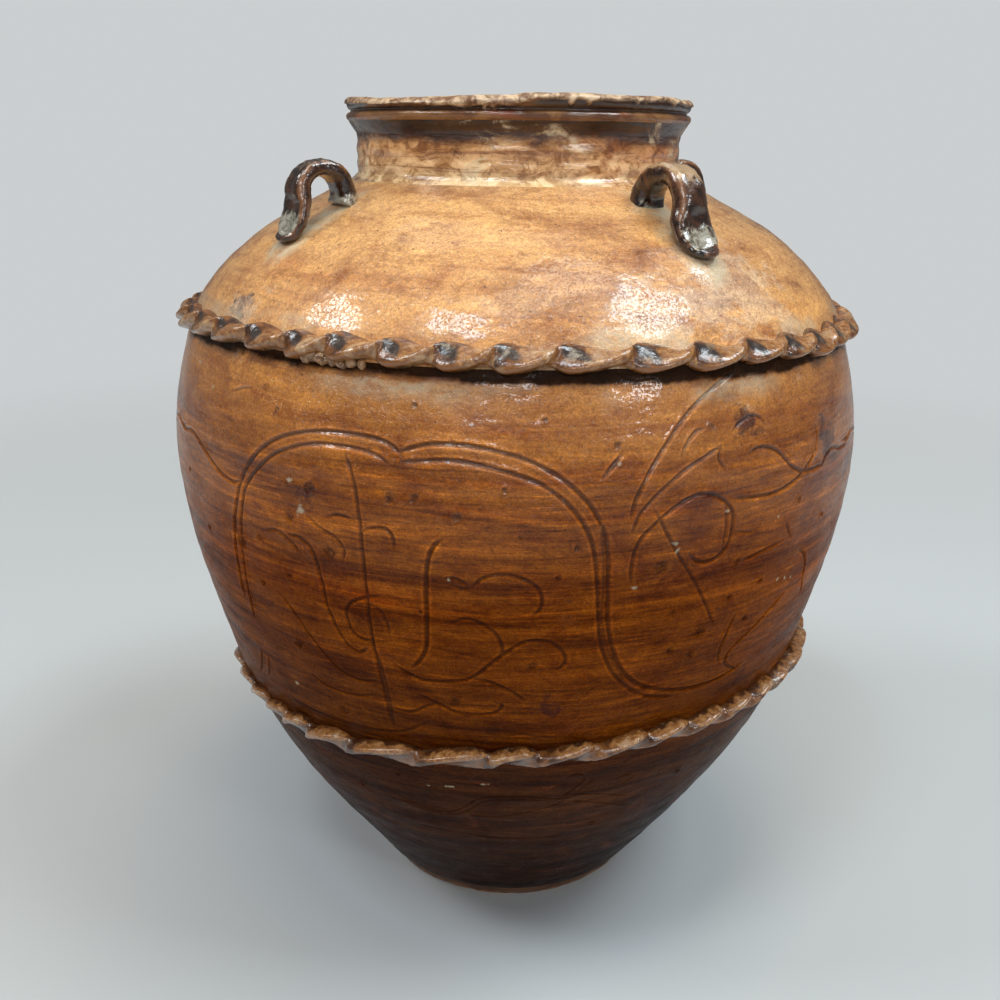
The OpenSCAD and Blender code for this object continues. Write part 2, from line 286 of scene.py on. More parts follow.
# Pale chips and specks of bare grog, as (bearing, height, radius, how flat)
chips = [
    (-29.1, 292, 2.3, 1), (-30.9, 304.6, 1.3, 1), (29.5, 294.3, 0.9, 1), (39.5, 284.3, 1.0, 1.5),
    (42.5, 248, 1.0, 1), (44.5, 247, 0.9, 1), (46.3, 245.7, 0.8, 1), (-57.4, 343.6, 1.3, 1),
    (-50.6, 335.7, 1.0, 1), (-37.3, 185, 1.6, 1.5), (-14.5, 135.4, 1.5, 3.4), (-10.5, 137.3, 2.6, 4.2),
    (-4.3, 141.7, 2.2, 3.4), (21.7, 282.5, 1.5, 1.6), (16.2, 263, 1.5, 1.4), (57.8, 322, 1.1, 1),
    (22, 279, 1.0, 1), (13.6, 321, 0.9, 1), (-8, 268, 0.8, 1),
]


def lowerRopeHeight(bearing):
    a = math.radians(bearing)
    return (160 + 7 * math.sin(a + math.radians(5)) + 4 * math.cos(a)
            + 4 * math.sin(2 * a + math.radians(10)))


def upperRopeHeight(bearing):
    a = math.radians(bearing)
    return 360 + 3 * math.cos(a + math.radians(10)) + 1.5 * math.cos(2 * a + math.radians(20))


def surfacePoint(bearing, z):
    return onJar(bearing, wallRadius(z), z)


def curveThrough(points):
    path = []
    padded = [points[0]] + list(points) + [points[-1]]
    for i in range(len(points) - 1):
        before, a, b, after = (Vector((*p, 0)) for p in padded[i:i + 4])
        length = (surfacePoint(b[0], b[1]) - surfacePoint(a[0], a[1])).length
        count = max(int(length / ornament["step"]), 1)
        for k in range(count):
            t = k / count
            p = 0.5 * ((2 * a) + (b - before) * t + (2 * before - 5 * a + 4 * b - after) * t * t
                       + (3 * a - before - 3 * b + after) * t ** 3)
            path.append((p[0], p[1]))
    path.append(points[-1])
    return path


def traceMarks(marks):
    traced = []
    for weight, points in marks:
        path = curveThrough(points)
        spots = [surfacePoint(*p) for p in path]
        run = [0]
        for a, b in zip(spots, spots[1:]):
            run.append(run[-1] + (b - a).length)
        for spot, along in zip(spots, run):
            end = min(along, run[-1] - along)
            wander = 0.85 + 0.3 * (ripple(spot, 9, 3) + 0.5)
            traced.append((spot, weight * wander * (0.35 + 0.65 * ease(0, ornament["taper"], end))))
    return traced


def turnedMarks():
    marks = list(ornament["front"])
    for turn, mirrored, lift in ornament["back"]:
        side = -1 if mirrored else 1
        marks += [(weight, [(side * a + turn, z + lift) for a, z in points])
                  for weight, points in ornament["front"]
                  if weight >= ornament["backWeight"]]
    return marks


def treeOf(spots):
    tree = KDTree(len(spots))
    for i, spot in enumerate(spots):
        tree.insert(spot, i)
    tree.balance()
    return tree


def grooveAt(distance, weight):
    half = ornament["halfWidth"] * (0.55 + 0.45 * weight)
    near = max(1 - distance / half, 0)
    depth = ornament["depth"] * weight * near * (2 - near)
    burr = ornament["burr"] * weight * math.exp(-((distance - half - 0.35) / 0.55) ** 2)
    return depth, burr, near


def uneven(point):
    # throwing rings and dents of the walls
    z = point[2]
    rings = (0.16 * math.sin(z / 2.9 + 1.5 * ripple(point, 90, 1))
             + 0.12 * math.sin(z / 1.37 + 2.2 * ripple(point, 60, 4)))
    dents = 0.9 * ripple(point, 70, 2) + 0.35 * ripple(point, 24, 5) + 0.1 * ripple(point, 7, 6)
    return rings * (0.4 + 0.6 * ease(-0.3, 0.4, ripple(point, 120, 7))) + dents


def nearSkin(vert):
    _, radius, z = polar(vert.co)
    return radius > wallRadius(min(max(z, 0), jar["collarFoot"])) - 3


def refine(bm, faces, near, reach):
    # quarter the faces of the outer skin whose middle lies near a mark
    picked = [face for face in faces if near(face.calc_center_median()) < reach]
    edges = list({edge for face in picked for edge in face.edges})
    cut = bmesh.ops.subdivide_edges(bm, edges=edges, cuts=1, use_grid_fill=True)
    return [item for item in cut["geom"] if isinstance(item, bmesh.types.BMFace)]


def pitAt(point, pitTree, pitList):
    depth, dark = 0, 0
    for _, i, gap in pitTree.find_range(point, 6):
        radius, deep = pitList[i][2], pitList[i][3]
        gap = gap * (1 + 0.35 * ripple(point, 2.2, i))
        near = ease(radius * 1.25, radius * 0.45, gap)
        broken = 0.55 + 0.9 * (ripple(point, 1.3, 40 + i) + 0.25)
        depth += deep * near * broken - 0.3 * math.exp(-((gap - radius * 1.2) / 0.6) ** 2)
        depth += 0.28 * math.sin(gap * 3.1 + 3 * ripple(point, 2.6, i)) * ease(radius * 1.5, radius, gap)
        dark = max(dark, near * broken)
    return depth, min(max(dark, 0), 1)


def chipAt(point, chipTree, chipList):
    pale = 0
    for _, i, gap in chipTree.find_range(point, 5):
        middle = surfacePoint(*chipList[i][:2])
        away = Vector((point[0] - middle[0], point[1] - middle[1], (point[2] - middle[2]) * chipList[i][3]))
        gap = away.length * (1 + 0.9 * ripple(point, 1.3, 80 + i))
        pale = max(pale, ease(chipList[i][2], chipList[i][2] * 0.55, gap))
    return pale


def ropeEdge(point):
    # distance from the lower edge of the upper rope's shade
    return abs(upperRopeHeight(bearingOf(point)) - 11.5 - point[2])


def dressWall(bm, marks, pitList, chipList, reaches):
    traced = traceMarks(marks)
    markTree = treeOf([spot for spot, _ in traced])
    pitTree = treeOf([surfacePoint(*p[:2]) for p in pitList])
    chipTree = treeOf([surfacePoint(*p[:2]) for p in chipList])

    def near(point):
        gap = min(markTree.find(point)[2], ropeEdge(point))
        if abs(bearingOf(point)) < 75:
            return min(gap, max(pitTree.find(point)[2] - 1.5, 0), max(chipTree.find(point)[2] - 1, 0))
        return gap * reaches["back"]

    faces = [face for face in bm.faces if all(nearSkin(v) for v in face.verts)]
    for reach in reaches["steps"]:
        faces = refine(bm, faces, near, reach)
    layers = newLayers(bm, "cut", "rub", "chip", "gap", "pool")
    for vert in bm.verts:
        if not nearSkin(vert):
            continue
        bearing, _, z = polar(vert.co)
        base = onJar(bearing, wallRadius(z), z)
        rise = uneven(base)
        cut = rub = pale = 0
        _, i, gap = markTree.find(base)
        if gap < 4:
            depth, burr, close = grooveAt(gap, traced[i][1])
            rise += burr - depth
            # the groove darkens towards its middle: painted shade in the cut
            cut = ease(0, 0.75, close) * min(0.35 + traced[i][1], 1)
            rub = burr / ornament["burr"]
        # painted shade under each rope, then, under the upper one, the painted shadow of the gap and the
        # milky run, which is part pale glaze and part painted sheen
        for rope in (upperRopeHeight(bearing), lowerRopeHeight(bearing)):
            paintedRopeShade = ease(rope - 12.5, rope - 8.5, z) * (z < rope)
            cut = max(cut, 0.9 * paintedRopeShade * (0.6 + ripple(base, 9, 55)))
        below = upperRopeHeight(bearing) - z + 1.2 * ripple(base, 9, 56) + 0.6 * ripple(base, 3, 57)
        deep = ease(-16, -8, bearing) * ease(52, 42, bearing) + 0.45 * (abs(bearing) > 90)
        shade = ease(9.3 + 1.6 * deep, 7.6 + 1.6 * deep, below) * ease(-1, 1, below)
        milkyAndSheen = ease(10, 12, below) * ease(22, 14, below) * ease(-0.25, 0.25, ripple(base, 30, 58))
        if abs(bearing) < 80:
            depth, dark = pitAt(base, pitTree, pitList)
            cut = max(cut, dark)
            pale = chipAt(base, chipTree, chipList)
            rise -= depth + 0.25 * pale
        # cut holds painted shade in the grooves and under the ropes, and the dark of the pits; gap holds the
        # painted shadow under the upper rope; the milky run carries a painted sheen
        setMarks(vert, layers, cut=cut, rub=rub, chip=pale, gap=0.95 * shade,
                 pool=0.55 * milkyAndSheen * ease(-34, -26, bearing) * ease(44, 34, bearing))
        edge = ease(0, 3, abs(z - jar["upperJoint"]))
        radius = min(wallRadius(z) - 0.5 + rise * edge, jar["widest"])
        vert.co = onJar(bearing, radius, z)


def fillInputs(tree, item, inputs):
    for key, value in inputs.items():
        if isinstance(value, bpy.types.NodeSocket):
            tree.links.new(value, item.inputs[key])
        else:
            item.inputs[key].default_value = value


def addNode(tree, kind, inputs=None, **settings):
    item = tree.nodes.new("ShaderNode" + kind)
    for key, value in settings.items():
        setattr(item, key, value)
    fillInputs(tree, item, inputs or {})
    return item


def placeOf(tree):
    return addNode(tree, "TexCoord").outputs["Object"]


def alongAxis(tree, axis):
    return addNode(tree, "SeparateXYZ", {0: placeOf(tree)}).outputs[axis]


def markOf(tree, name):
    return addNode(tree, "Attribute", attribute_name=name).outputs["Fac"]


def grain(tree, across, up, detail=3.0, warp=0.0, shift=(0, 0, 0), rough=0.5):
    # noise with so many grains to the metre, level and upright
    scale = (across, across, up)
    moved = addNode(tree, "Mapping", {"Vector": placeOf(tree), "Location": shift, "Scale": scale})
    return addNode(tree, "TexNoise", {
        "Vector": moved.outputs[0], "Scale": 1.0, "Detail": detail, "Distortion": warp, "Roughness": rough,
    }).outputs[0]


def span(tree, value, low, high, toLow=0.0, toHigh=1.0, curve="LINEAR"):
    return addNode(tree, "MapRange", {
        "Value": value, "From Min": low, "From Max": high, "To Min": toLow, "To Max": toHigh,
    }, interpolation_type=curve).outputs[0]


def spread(tree, *reach):
    return span(tree, *reach, curve="SMOOTHSTEP")


def reckon(tree, operation, a, b):
    return addNode(tree, "Math", {0: a, 1: b}, operation=operation).outputs[0]


def times(tree, a, b):
    return reckon(tree, "MULTIPLY", a, b)


def fray(tree, value, fuzz, *reach):
    # a value pushed up and down by a grain
    return reckon(tree, "ADD", value, span(tree, fuzz, *reach))


def blend(tree, share, under, over, mode="MIX"):
    below, above = (value if isinstance(value, bpy.types.NodeSocket) else (*value, 1)
                    for value in (under, over))
    return addNode(tree, "Mix", {0: share, 6: below, 7: above}, data_type="RGBA", blend_type=mode).outputs[2]


def stain(tree, under, fuzz, low, high, share, over, mode="MIX"):
    # a layer of colour where the grain runs from low to high
    return blend(tree, spread(tree, fuzz, low, high, 0, share), under, over, mode)


def tint(tree, *layer):
    return stain(tree, *layer, mode="MULTIPLY")


def tintAll(tree, colour, layers, part=None):
    # a layer is (settings of its grain, [(low, high, share, colour), ...]), and part limits it to a place
    for settings, tints in layers:
        fuzz = grain(tree, *settings)
        for low, high, share, over in tints:
            amount = spread(tree, fuzz, low, high, 0, share)
            if part:
                amount = times(tree, part, amount)
            colour = blend(tree, amount, colour, over, "MULTIPLY")
    return colour


def heightColours(tree, height, low, high, stops):
    # stops as (height in millimetres, colour), between the heights low and high
    ramp = addNode(tree, "ValToRGB", {0: span(tree, height, low / 1000, high / 1000)})
    bar = ramp.color_ramp
    while len(bar.elements) < len(stops):
        bar.elements.new(0.5)
    for element, (z, colour) in zip(bar.elements, stops):
        element.position = (z - low) / (high - low)
        element.color = (*colour, 1)
    return ramp.outputs[0]


def blob(tree, bearing, z, radius, size, seed):
    # a ragged patch round a spot on the wall
    centre = tuple(0.001 * c for c in surfacePoint(bearing, z))
    gap = addNode(tree, "VectorMath", {0: placeOf(tree), 1: centre}, operation="DISTANCE").outputs["Value"]
    torn = grain(tree, size, size * 1.6, 5, 0.4, (seed, seed, seed), 0.6)
    reach = fray(tree, gap, torn, 0.25, 0.75, radius * 0.9, -radius * 0.9)
    return spread(tree, reach, radius, radius * 0.35)


def bump(tree, *layers):
    # layers as (height, strength, distance), the finest first
    normal = None
    for height, strength, distance in layers:
        inputs = {"Height": height, "Strength": strength, "Distance": distance}
        if normal:
            inputs["Normal"] = normal
        normal = addNode(tree, "Bump", inputs).outputs[0]
    return normal


def newMaterial(name):
    material = bpy.data.materials.new(name)
    material.use_nodes = True
    return material, material.node_tree


def settle(material, inputs):
    tree = material.node_tree
    fillInputs(tree, tree.nodes["Principled BSDF"], inputs)
    return material


# Glaze of the thrown walls: a colour at each height in millimetres, foot to lip, and the grains over it; the
# colours darken towards the foot, partly the glaze and partly painted shade on the lower walls
bodyGlaze = {
    "stops": [(0, (0.022, 0.008, 0.004)), (60, (0.030, 0.009, 0.003)), (150, (0.066, 0.018, 0.003)),
              (172, (0.125, 0.030, 0.0015)), (255, (0.205, 0.047, 0.002)), (318, (0.300, 0.088, 0.009)),
              (350, (0.530, 0.200, 0.042))],
    "shoulder": [(350, (0.680, 0.300, 0.095)), (375, (0.730, 0.345, 0.110)), (425, (0.780, 0.415, 0.160)),
                 (440, (0.640, 0.370, 0.160))],
    # long level streaks from the wheel
    "streaks": [
        ((6, 85, 6, 0.7, (3, 1, 0), 0.62), [(0.48, 0.72, 0.75, (0.56, 0.38, 0.30))]),
        ((16, 330, 4, 0.3, (0, 5, 2), 0.6), [(0.5, 0.78, 0.5, (0.45, 0.30, 0.22))]),
        ((10, 60, 6, 0.8, (8, 2, 5), 0.6), [(0.52, 0.74, 0.5, (1.7, 1.75, 1.5))]),
    ],
    # the belly and the cone are streaked more strongly than the shoulder
    "lowStreaks": [
        ((8, 120, 6, 0.8, (5, 2, 8), 0.65),
         [(0.5, 0.66, 0.85, (0.42, 0.30, 0.24)), (0.49, 0.35, 0.8, (1.75, 1.8, 1.6))]),
        ((40, 520, 4, 0.4, (3, 9, 4), 0.7),
         [(0.54, 0.68, 0.7, (1.9, 1.9, 1.8)), (0.46, 0.34, 0.7, (0.45, 0.36, 0.3))]),
    ],
    "clouds": [((13, 19, 7, 1.1, (1, 7, 3), 0.66), [(0.52, 0.7, 0.7, (0.40, 0.24, 0.18))])],
    # small patches, yellower and redder, and the grain of the glaze
    "patches": [
        ((48, 80, 7, 0.6, (5, 5, 1), 0.7),
         [(0.5, 0.66, 0.8, (1.22, 1.27, 1.2)), (0.5, 0.36, 0.7, (0.66, 0.52, 0.46))]),
        ((330, 460, 4, 0.3, (4, 8, 3), 0.65),
         [(0.5, 0.36, 0.48, (0.62, 0.52, 0.5)), (0.52, 0.66, 0.42, (1.3, 1.36, 1.36))]),
    ],
    "coat": (0.04, 0.78), "specular": (0.02, 0.3), "coatRoughness": 0.07,
    # dark stains and milky hazes, as (bearing, height, radius in metres, seed)
    "stains": [(33, 333, 0.009, 1), (52, 313, 0.014, 2), (5, 197, 0.009, 3), (-50, 374, 0.010, 4),
               (-28, 300, 0.006, 5), (150, 320, 0.016, 6), (-120, 240, 0.014, 7)],
    "hazes": [(38, 385, 0.040, 11), (20, 378, 0.022, 12), (-48, 368, 0.020, 13), (128, 385, 0.030, 14),
              (214, 380, 0.030, 15)],
}


def makeBodyGlaze():
    material, tree = newMaterial("streakedBrownGlaze")
    straight = alongAxis(tree, "Z")
    height = fray(tree, straight, grain(tree, 9, 22, 4, 0.6), 0, 1, -0.022, 0.022)
    # the shoulder is paler than the belly from the middle of the upper rope on
    colour = blend(tree, spread(tree, straight, 0.3575, 0.3605),
                   heightColours(tree, height, 0, jar["rim"], bodyGlaze["stops"]),
                   heightColours(tree, height, 0, jar["rim"], bodyGlaze["shoulder"]))
    colour = tintAll(tree, colour, bodyGlaze["streaks"])
    colour = tintAll(tree, colour, bodyGlaze["lowStreaks"], spread(tree, height, 0.350, 0.300))
    colour = tintAll(tree, colour, bodyGlaze["clouds"])
    red = grain(tree, 20, 44, 6, 1.3, (4, 4, 9), 0.65)
    colour = stain(tree, colour, red, 0.56, 0.72, 0.45, (0.19, 0.045, 0.010))
    for blobs, size, share, over in ((bodyGlaze["stains"], 110, 0.8, (0.055, 0.012, 0.009)),
                                     (bodyGlaze["hazes"], 60, 0.36, (0.72, 0.58, 0.44))):
        for bearing, z, radius, seed in blobs:
            amount = times(tree, blob(tree, bearing, z, radius, size, seed), share)
            colour = blend(tree, amount, colour, over)
    colour = tintAll(tree, colour, bodyGlaze["patches"])
    dust = grain(tree, 950, 1150, 3, 0.1, (1, 2, 3), 0.6)
    colour = blend(tree, spread(tree, dust, 0.36, 0.6, 0.36, 0), colour, (0.42, 0.34, 0.3), "MULTIPLY")
    colour = tint(tree, colour, dust, 0.5, 0.66, 0.4, (1.4, 1.44, 1.46))
    # scum and specks
    scum = spread(tree, grain(tree, 150, 240, 4, 0.4, (6, 0, 4), 0.7), 0.62, 0.78, 0, 0.26)
    scum = times(tree, scum, spread(tree, height, 0.26, 0.37, 0.08, 1))
    colour = blend(tree, scum, colour, (0.56, 0.47, 0.36))
    speck = grain(tree, 520, 620, 2, 0, (2, 2, 2), 0.5)
    colour = stain(tree, colour, speck, 0.66, 0.74, 0.7, (0.06, 0.025, 0.014))
    # the marks: burrs; painted shade in the cuts and under each rope, and pits; chips; milky pools, part pale
    # glaze and part painted sheen; and the painted shadow under the upper rope
    colour = blend(tree, times(tree, markOf(tree, "rub"), 0.55), colour, (1.9, 1.9, 1.9), "MULTIPLY")
    for mark, share, over in (("cut", 0.6, (0.028, 0.009, 0.005)), ("chip", 0.85, (0.46, 0.36, 0.24))):
        colour = blend(tree, times(tree, markOf(tree, mark), share), colour, over)
    # the milky pools: pale glaze with a painted sheen
    milkAndSheenGrain = spread(tree, grain(tree, 90, 130, 5, 0.6, (2, 9, 4), 0.65), 0.36, 0.6, 0.25, 0.9)
    colour = blend(tree, times(tree, markOf(tree, "pool"), milkAndSheenGrain), colour, (0.66, 0.55, 0.37))
    # gap: the painted shadow under the upper rope, near black
    shade = markOf(tree, "gap")
    colour = blend(tree, shade, colour, (0.012, 0.005, 0.003))
    peel = spread(tree, grain(tree, 820, 960, 3, 0.2, (5, 5, 5), 0.6), 0.34, 0.5)
    lumps = grain(tree, 110, 210, 2, 0.5, (7, 1, 8), 0.5)
    normal = bump(tree, (peel, 0.4, 0.0003), (lumps, 0.4, 0.0008))
    mottle = grain(tree, 70, 120, 5, 0.5, (9, 3, 1), 0.65)
    gloss = times(tree, spread(tree, height, 0.25, 0.36), reckon(tree, "SUBTRACT", 1.0, shade))
    return settle(material, {
        "Base Color": colour, "Roughness": span(tree, mottle, 0.3, 0.7, 0.24, 0.46),
        "Normal": normal, "Coat Normal": normal, "Coat Weight": span(tree, gloss, 0, 1, *bodyGlaze["coat"]),
        "Specular IOR Level": span(tree, gloss, 0, 1, *bodyGlaze["specular"]),
        "Coat Roughness": bodyGlaze["coatRoughness"],
    })


bodyMaterial = makeBodyGlaze()
print("stage: body glaze mixed")


footSlab = {"name": "footSlab", "steps": 256, "roundness": 2.2, "worn": 80, "widest": 86.5}


def makeFootSlab():
    low, top = footSlab["roundness"], jar["slab"]
    foot = jar["stations"][0][1]
    outline = [(0, 0), (40, 0), (foot - low, 0), (foot - 0.7, 0.5), (wallRadius(low) - 0.1, low)]
    outline += skin(low + 1.5, top, 1.6) + [(60, top), (0, top)]
    bm = spinOutline(outline, footSlab["steps"], closed=False)
    for vert in bm.verts:
        bearing, radius, z = polar(vert.co)
        if radius > footSlab["worn"]:
            spot = onJar(bearing, radius, z * 2.2)
            rough = 0.9 * ripple(spot, 16, 21) + 0.6 * ripple(spot, 5, 22) - 0.7
            fade = 1 - ease(7, 12, z)
            vert.co = onJar(bearing, min(radius + rough * fade - 0.5 * (1 - fade), footSlab["widest"]), z)
    finishPiece(bm, footSlab["name"], ["base_slab"], makeFootGlaze(), crisp=True)


def makeFootGlaze():
    material, tree = newMaterial("wornFootGlaze")
    wander = grain(tree, 60, 90, 5, 0.5)
    height = fray(tree, alongAxis(tree, "Z"), wander, 0, 1, -0.0035, 0.0035)
    patch = grain(tree, 26, 26, 5, 0.8, (2, 8, 1))
    dark = blend(tree, spread(tree, patch, 0.4, 0.65), (0.075, 0.030, 0.014), (0.12, 0.052, 0.022))
    clay = blend(tree, spread(tree, patch, 0.42, 0.6), (0.36, 0.17, 0.07), (0.20, 0.085, 0.035))
    return settle(material, {
        "Base Color": blend(tree, spread(tree, height, 0.0045, 0.0015), dark, clay),
        "Roughness": span(tree, wander, 0.3, 0.7, 0.34, 0.62),
        "Normal": bump(tree, (grain(tree, 420, 420, 3, 0.2), 0.5, 0.0006)),
        "Coat Weight": 0.25, "Coat Roughness": 0.25,
    })


# Walls: how many steps round, how far apart the rows are, and how near a mark each finer step starts
walls = {
    "steps": 256, "row": 5.0, "inside": 12,
    "belly": {"steps": (9.0, 4.4, 2.3), "back": 1.6},
    "cone": {"steps": (8.0, 4.0, 2.2), "back": 30},
}
conePits = [
    (-30, 120, 2.4, 0.5), (-20, 140, 1.8, 0.4), (18, 100, 2.2, 0.5), (34, 130, 2.0, 0.5), (-4, 90, 1.8, 0.4),
]


def makeWall(name, node, low, high, seat, marks, pitList, reaches):
    outline = skin(low, high, walls["row"]) + skin(low, high, walls["inside"], jar["wall"])[::-1] + seat
    bm = spinOutline(outline, walls["steps"])
    dressWall(bm, marks, pitList, chips, reaches)
    finishPiece(bm, name, [node], bodyMaterial, crisp=True)


def makeLowerCone():
    seat = wallRadius(jar["slab"]) - jar["wall"] / wallNormal(jar["slab"])[0]
    makeWall("lowerCone", "lower_wall", jar["slab"], jar["lowerJoint"], [(seat, jar["slab"])],
             ornament["cone"], conePits, walls["cone"])


def makeBellyWall():
    makeWall("bellyWall", "belly_wall", jar["lowerJoint"], jar["upperJoint"], [],
             turnedMarks(), pits, walls["belly"])


# A lug is a strap that leaves the shoulder by the collar, arches over its eye, and runs out as a
# tongue. No two are alike: each has its bearing, how much further out and higher its eye is, and
# its shares of the eye, the thickness, the width, the tongue and the crackle.
lug = {
    "out": 127.25, "eyeUp": 9.5, "eye": 9.6, "thick": 10, "wide": 16, "tongue": 25, "arch": 208,
    "sides": 28, "archSteps": 56, "tongueSteps": 36, "tipLift": 2.4,
    "keys": ("name", "node", "bearing", "further", "higher", "eye", "thick", "wide", "tongue", "crackle"),
    "rows": [
        ("lugFrontLeft", "lug_front_left", -50, 0, 2, 0.84, 0.90, 1.00, 0.88, 0.35),
        ("lugFrontRight", "lug_front_right", 35.5, -3.5, -2.5, 0.97, 1.10, 1.10, 1.15, 1.0),
        ("lugBackRight", "lug_back_right", 126, 0, 0, 0.92, 0.96, 1.00, 0.96, 0.6),
        ("lugBackLeft", "lug_back_left", 216, -1, -1, 0.96, 1.04, 1.05, 1.04, 0.5),
    ],
}
lugs = [dict(zip(lug["keys"], row)) for row in lug["rows"]]


def lugFeet():
    # spots along each lug where it touches the shoulder
    feet = []
    for piece in lugs:
        out = lug["out"] + piece["further"]
        line = lug["eye"] * piece["eye"] + lug["thick"] * piece["thick"] / 2
        tongue = lug["tongue"] * piece["tongue"]
        for r in (out - 1.0 * line, out - 0.7 * line, out + 0.45 * tongue, out + 0.75 * tongue, out + tongue):
            feet.append(onJar(piece["bearing"], r, shoulderHeight(r)))
    return feet


shoulderPits = [
    (-20, 392, 1.3, 0.4), (8, 385, 1.1, 0.35), (30, 372, 1.4, 0.4), (-40, 380, 1.2, 0.35),
    (50, 385, 1.3, 0.4),
]


def makeShoulderWall():
    low, high = jar["upperJoint"], jar["collarFoot"]
    outline = (skin(low, high, 2.5) + [(jar["mouth"], high), (jar["mouth"], high - jar["lute"])]
               + skin(low, high - 2 * jar["lute"], 10, jar["wall"])[::-1])
    bm = spinOutline(outline, 320)
    pitTree = treeOf([surfacePoint(*p[:2]) for p in shoulderPits])
    footTree = treeOf(lugFeet())
    layers = newLayers(bm, "cut", "pool")
    for vert in bm.verts:
        z = vert.co[2]
        if not nearSkin(vert) or z > high - 0.5:
            continue
        bearing = bearingOf(vert.co)
        base = onJar(bearing, wallRadius(z), z)
        across, up = wallNormal(z)
        depth, dark = pitAt(base, pitTree, shoulderPits)
        gap = footTree.find(base)[2]
        fillet = 1.1 * math.exp(-max(gap - 7, 0) / 3.5) * ease(22, 9, gap)
        aboveRope = ease(14, 9.5, z - upperRopeHeight(bearing) + 2.5 * ripple(base, 11, 61))
        # the pale pools by the lug feet and above the rope are pale glaze, with no painted sheen
        setMarks(vert, layers, cut=dark,
                 pool=max(0.9 * ease(14.5, 7.5, gap + 4 * ripple(base, 8, 60)),
                          0.6 * aboveRope * ease(-0.3, 0.25, ripple(base, 26, 62))))
        rise = (uneven(base) - depth + fillet - 0.4) * ease(0, 3, z - low) * ease(0, 4, high - 1 - z)
        vert.co = onJar(bearing, wallRadius(z) + across * rise, z + up * rise)
    finishPiece(bm, "shoulderWall", ["shoulder_wall"], bodyMaterial, crisp=True)


# Collar: throwing ridges between the crease at its foot and the cove under the lip
collar = {
    "name": "collar", "inner": 80, "hollow": 89.9, "ridge": 0.45, "ridges": 3, "rows": 30, "steps": 300,
    "crease": [(94.3, 0), (92.9, 0.7), (91.8, 1.8)], "cove": 24, "top": 94,
    # colours up the collar; the near-black top under the lip is dark glaze with painted shade in the cove
    "stops": [(428, (1.0, 0.70, 0.38)), (439.9, (1.0, 0.60, 0.29)), (448.4, (0.80, 0.40, 0.15)),
              (453.16, (0.10, 0.036, 0.013)), (462, (0.022, 0.009, 0.005))],
}


def makeCollar():
    low, high = jar["collarFoot"], jar["lipFoot"]
    inner, hollow, cove = collar["inner"], collar["hollow"], collar["cove"]
    outline = [(inner, low)] + [(r, low + z) for r, z in collar["crease"]]
    for i in range(1, collar["rows"] + 1):
        z = low + 3 + (cove - 3) * i / collar["rows"]
        turn = math.tau * collar["ridges"] * (z - low) / cove
        outline.append((hollow + collar["ridge"] * (1 + math.cos(turn)) / 2, z))
    outline += [(hollow + 1.7, low + 26), (hollow + 3.0, low + 28), (collar["top"], high), (inner, high)]
    outline += [(inner, low + 30 - 6 * i) for i in range(1, 5)]
    bm = spinOutline(outline, collar["steps"])
    for vert in bm.verts:
        bearing, radius, z = polar(vert.co)
        if radius > 86 and low + 1 < z < high - 1:
            spot = onJar(bearing, radius, z * 2)
            push = 0.5 * ripple(spot, 34, 31) + 0.25 * ripple(spot, 11, 32)
            vert.co = onJar(bearing, radius - 0.2 + push, z)
    finishPiece(bm, collar["name"], ["neck_collar"], makeCollarGlaze(), crisp=True)


def makeCollarGlaze():
    material, tree = newMaterial("patchyCollarGlaze")
    straight = alongAxis(tree, "Z")
    height = fray(tree, straight, grain(tree, 30, 70, 5, 0.6), 0, 1, -0.006, 0.006)
    colour = heightColours(tree, height, 428, 462, collar["stops"])
    cloud = grain(tree, 34, 50, 6, 1.0, (4, 2, 2), 0.65)
    colour = tint(tree, colour, cloud, 0.5, 0.62, 0.8, (0.50, 0.36, 0.20))
    colour = stain(tree, colour, cloud, 0.48, 0.36, 0.6, (0.96, 0.80, 0.52))
    # the right side is redder and darker
    redder = fray(tree, span(tree, alongAxis(tree, "X"), -0.01, 0.085), cloud, 0.3, 0.7, -0.5, 0.3)
    colour = tint(tree, colour, redder, 0.25, 0.9, 0.7, (0.60, 0.36, 0.26))
    colour = tintAll(tree, colour, [
        ((85, 150, 6, 0.8, (6, 3, 4), 0.68),
         [(0.5, 0.58, 0.8, (0.46, 0.32, 0.18)), (0.47, 0.38, 0.6, (1.3, 1.4, 1.5))]),
        ((14, 300, 5, 0.4, (1, 1, 6), 0.6), [(0.5, 0.66, 0.75, (0.42, 0.30, 0.24))]),
    ])
    speck = grain(tree, 500, 560, 2, 0, (3, 3, 1))
    peel = grain(tree, 480, 700, 3, 0.2, (5, 5, 5))
    lumps = grain(tree, 60, 230, 4, 0.5, (7, 1, 8))
    normal = bump(tree, (peel, 0.3, 0.0003), (lumps, 0.6, 0.0018))
    return settle(material, {
        "Base Color": stain(tree, colour, speck, 0.66, 0.74, 0.6, (0.06, 0.025, 0.014)),
        "Roughness": span(tree, cloud, 0.3, 0.7, 0.22, 0.42), "Normal": normal, "Coat Normal": normal,
        "Coat Weight": spread(tree, straight, 0.450, 0.456, 0.85, 0.2), "Coat Roughness": 0.08,
    })


# Lip: a bead, a groove, and a roll whose rim is chipped and rubbed down to the clay
lip = {"name": "lip", "bead": 4.5, "roll": 8.5, "outer": 96, "inner": 80, "steps": 640}


def arc(centre, radius, start, end, count):
    angles = [math.radians(start + (end - start) * i / count) for i in range(count + 1)]
    return [(centre[0] + radius * math.cos(a), centre[1] + radius * math.sin(a)) for a in angles]


def glazedFace(bearing):
    # the roll keeps its dark glaze on the right and at the far left, and is rubbed bare between
    return max(ease(-2, 8, bearing) * ease(130, 100, bearing), ease(-50, -60, bearing))


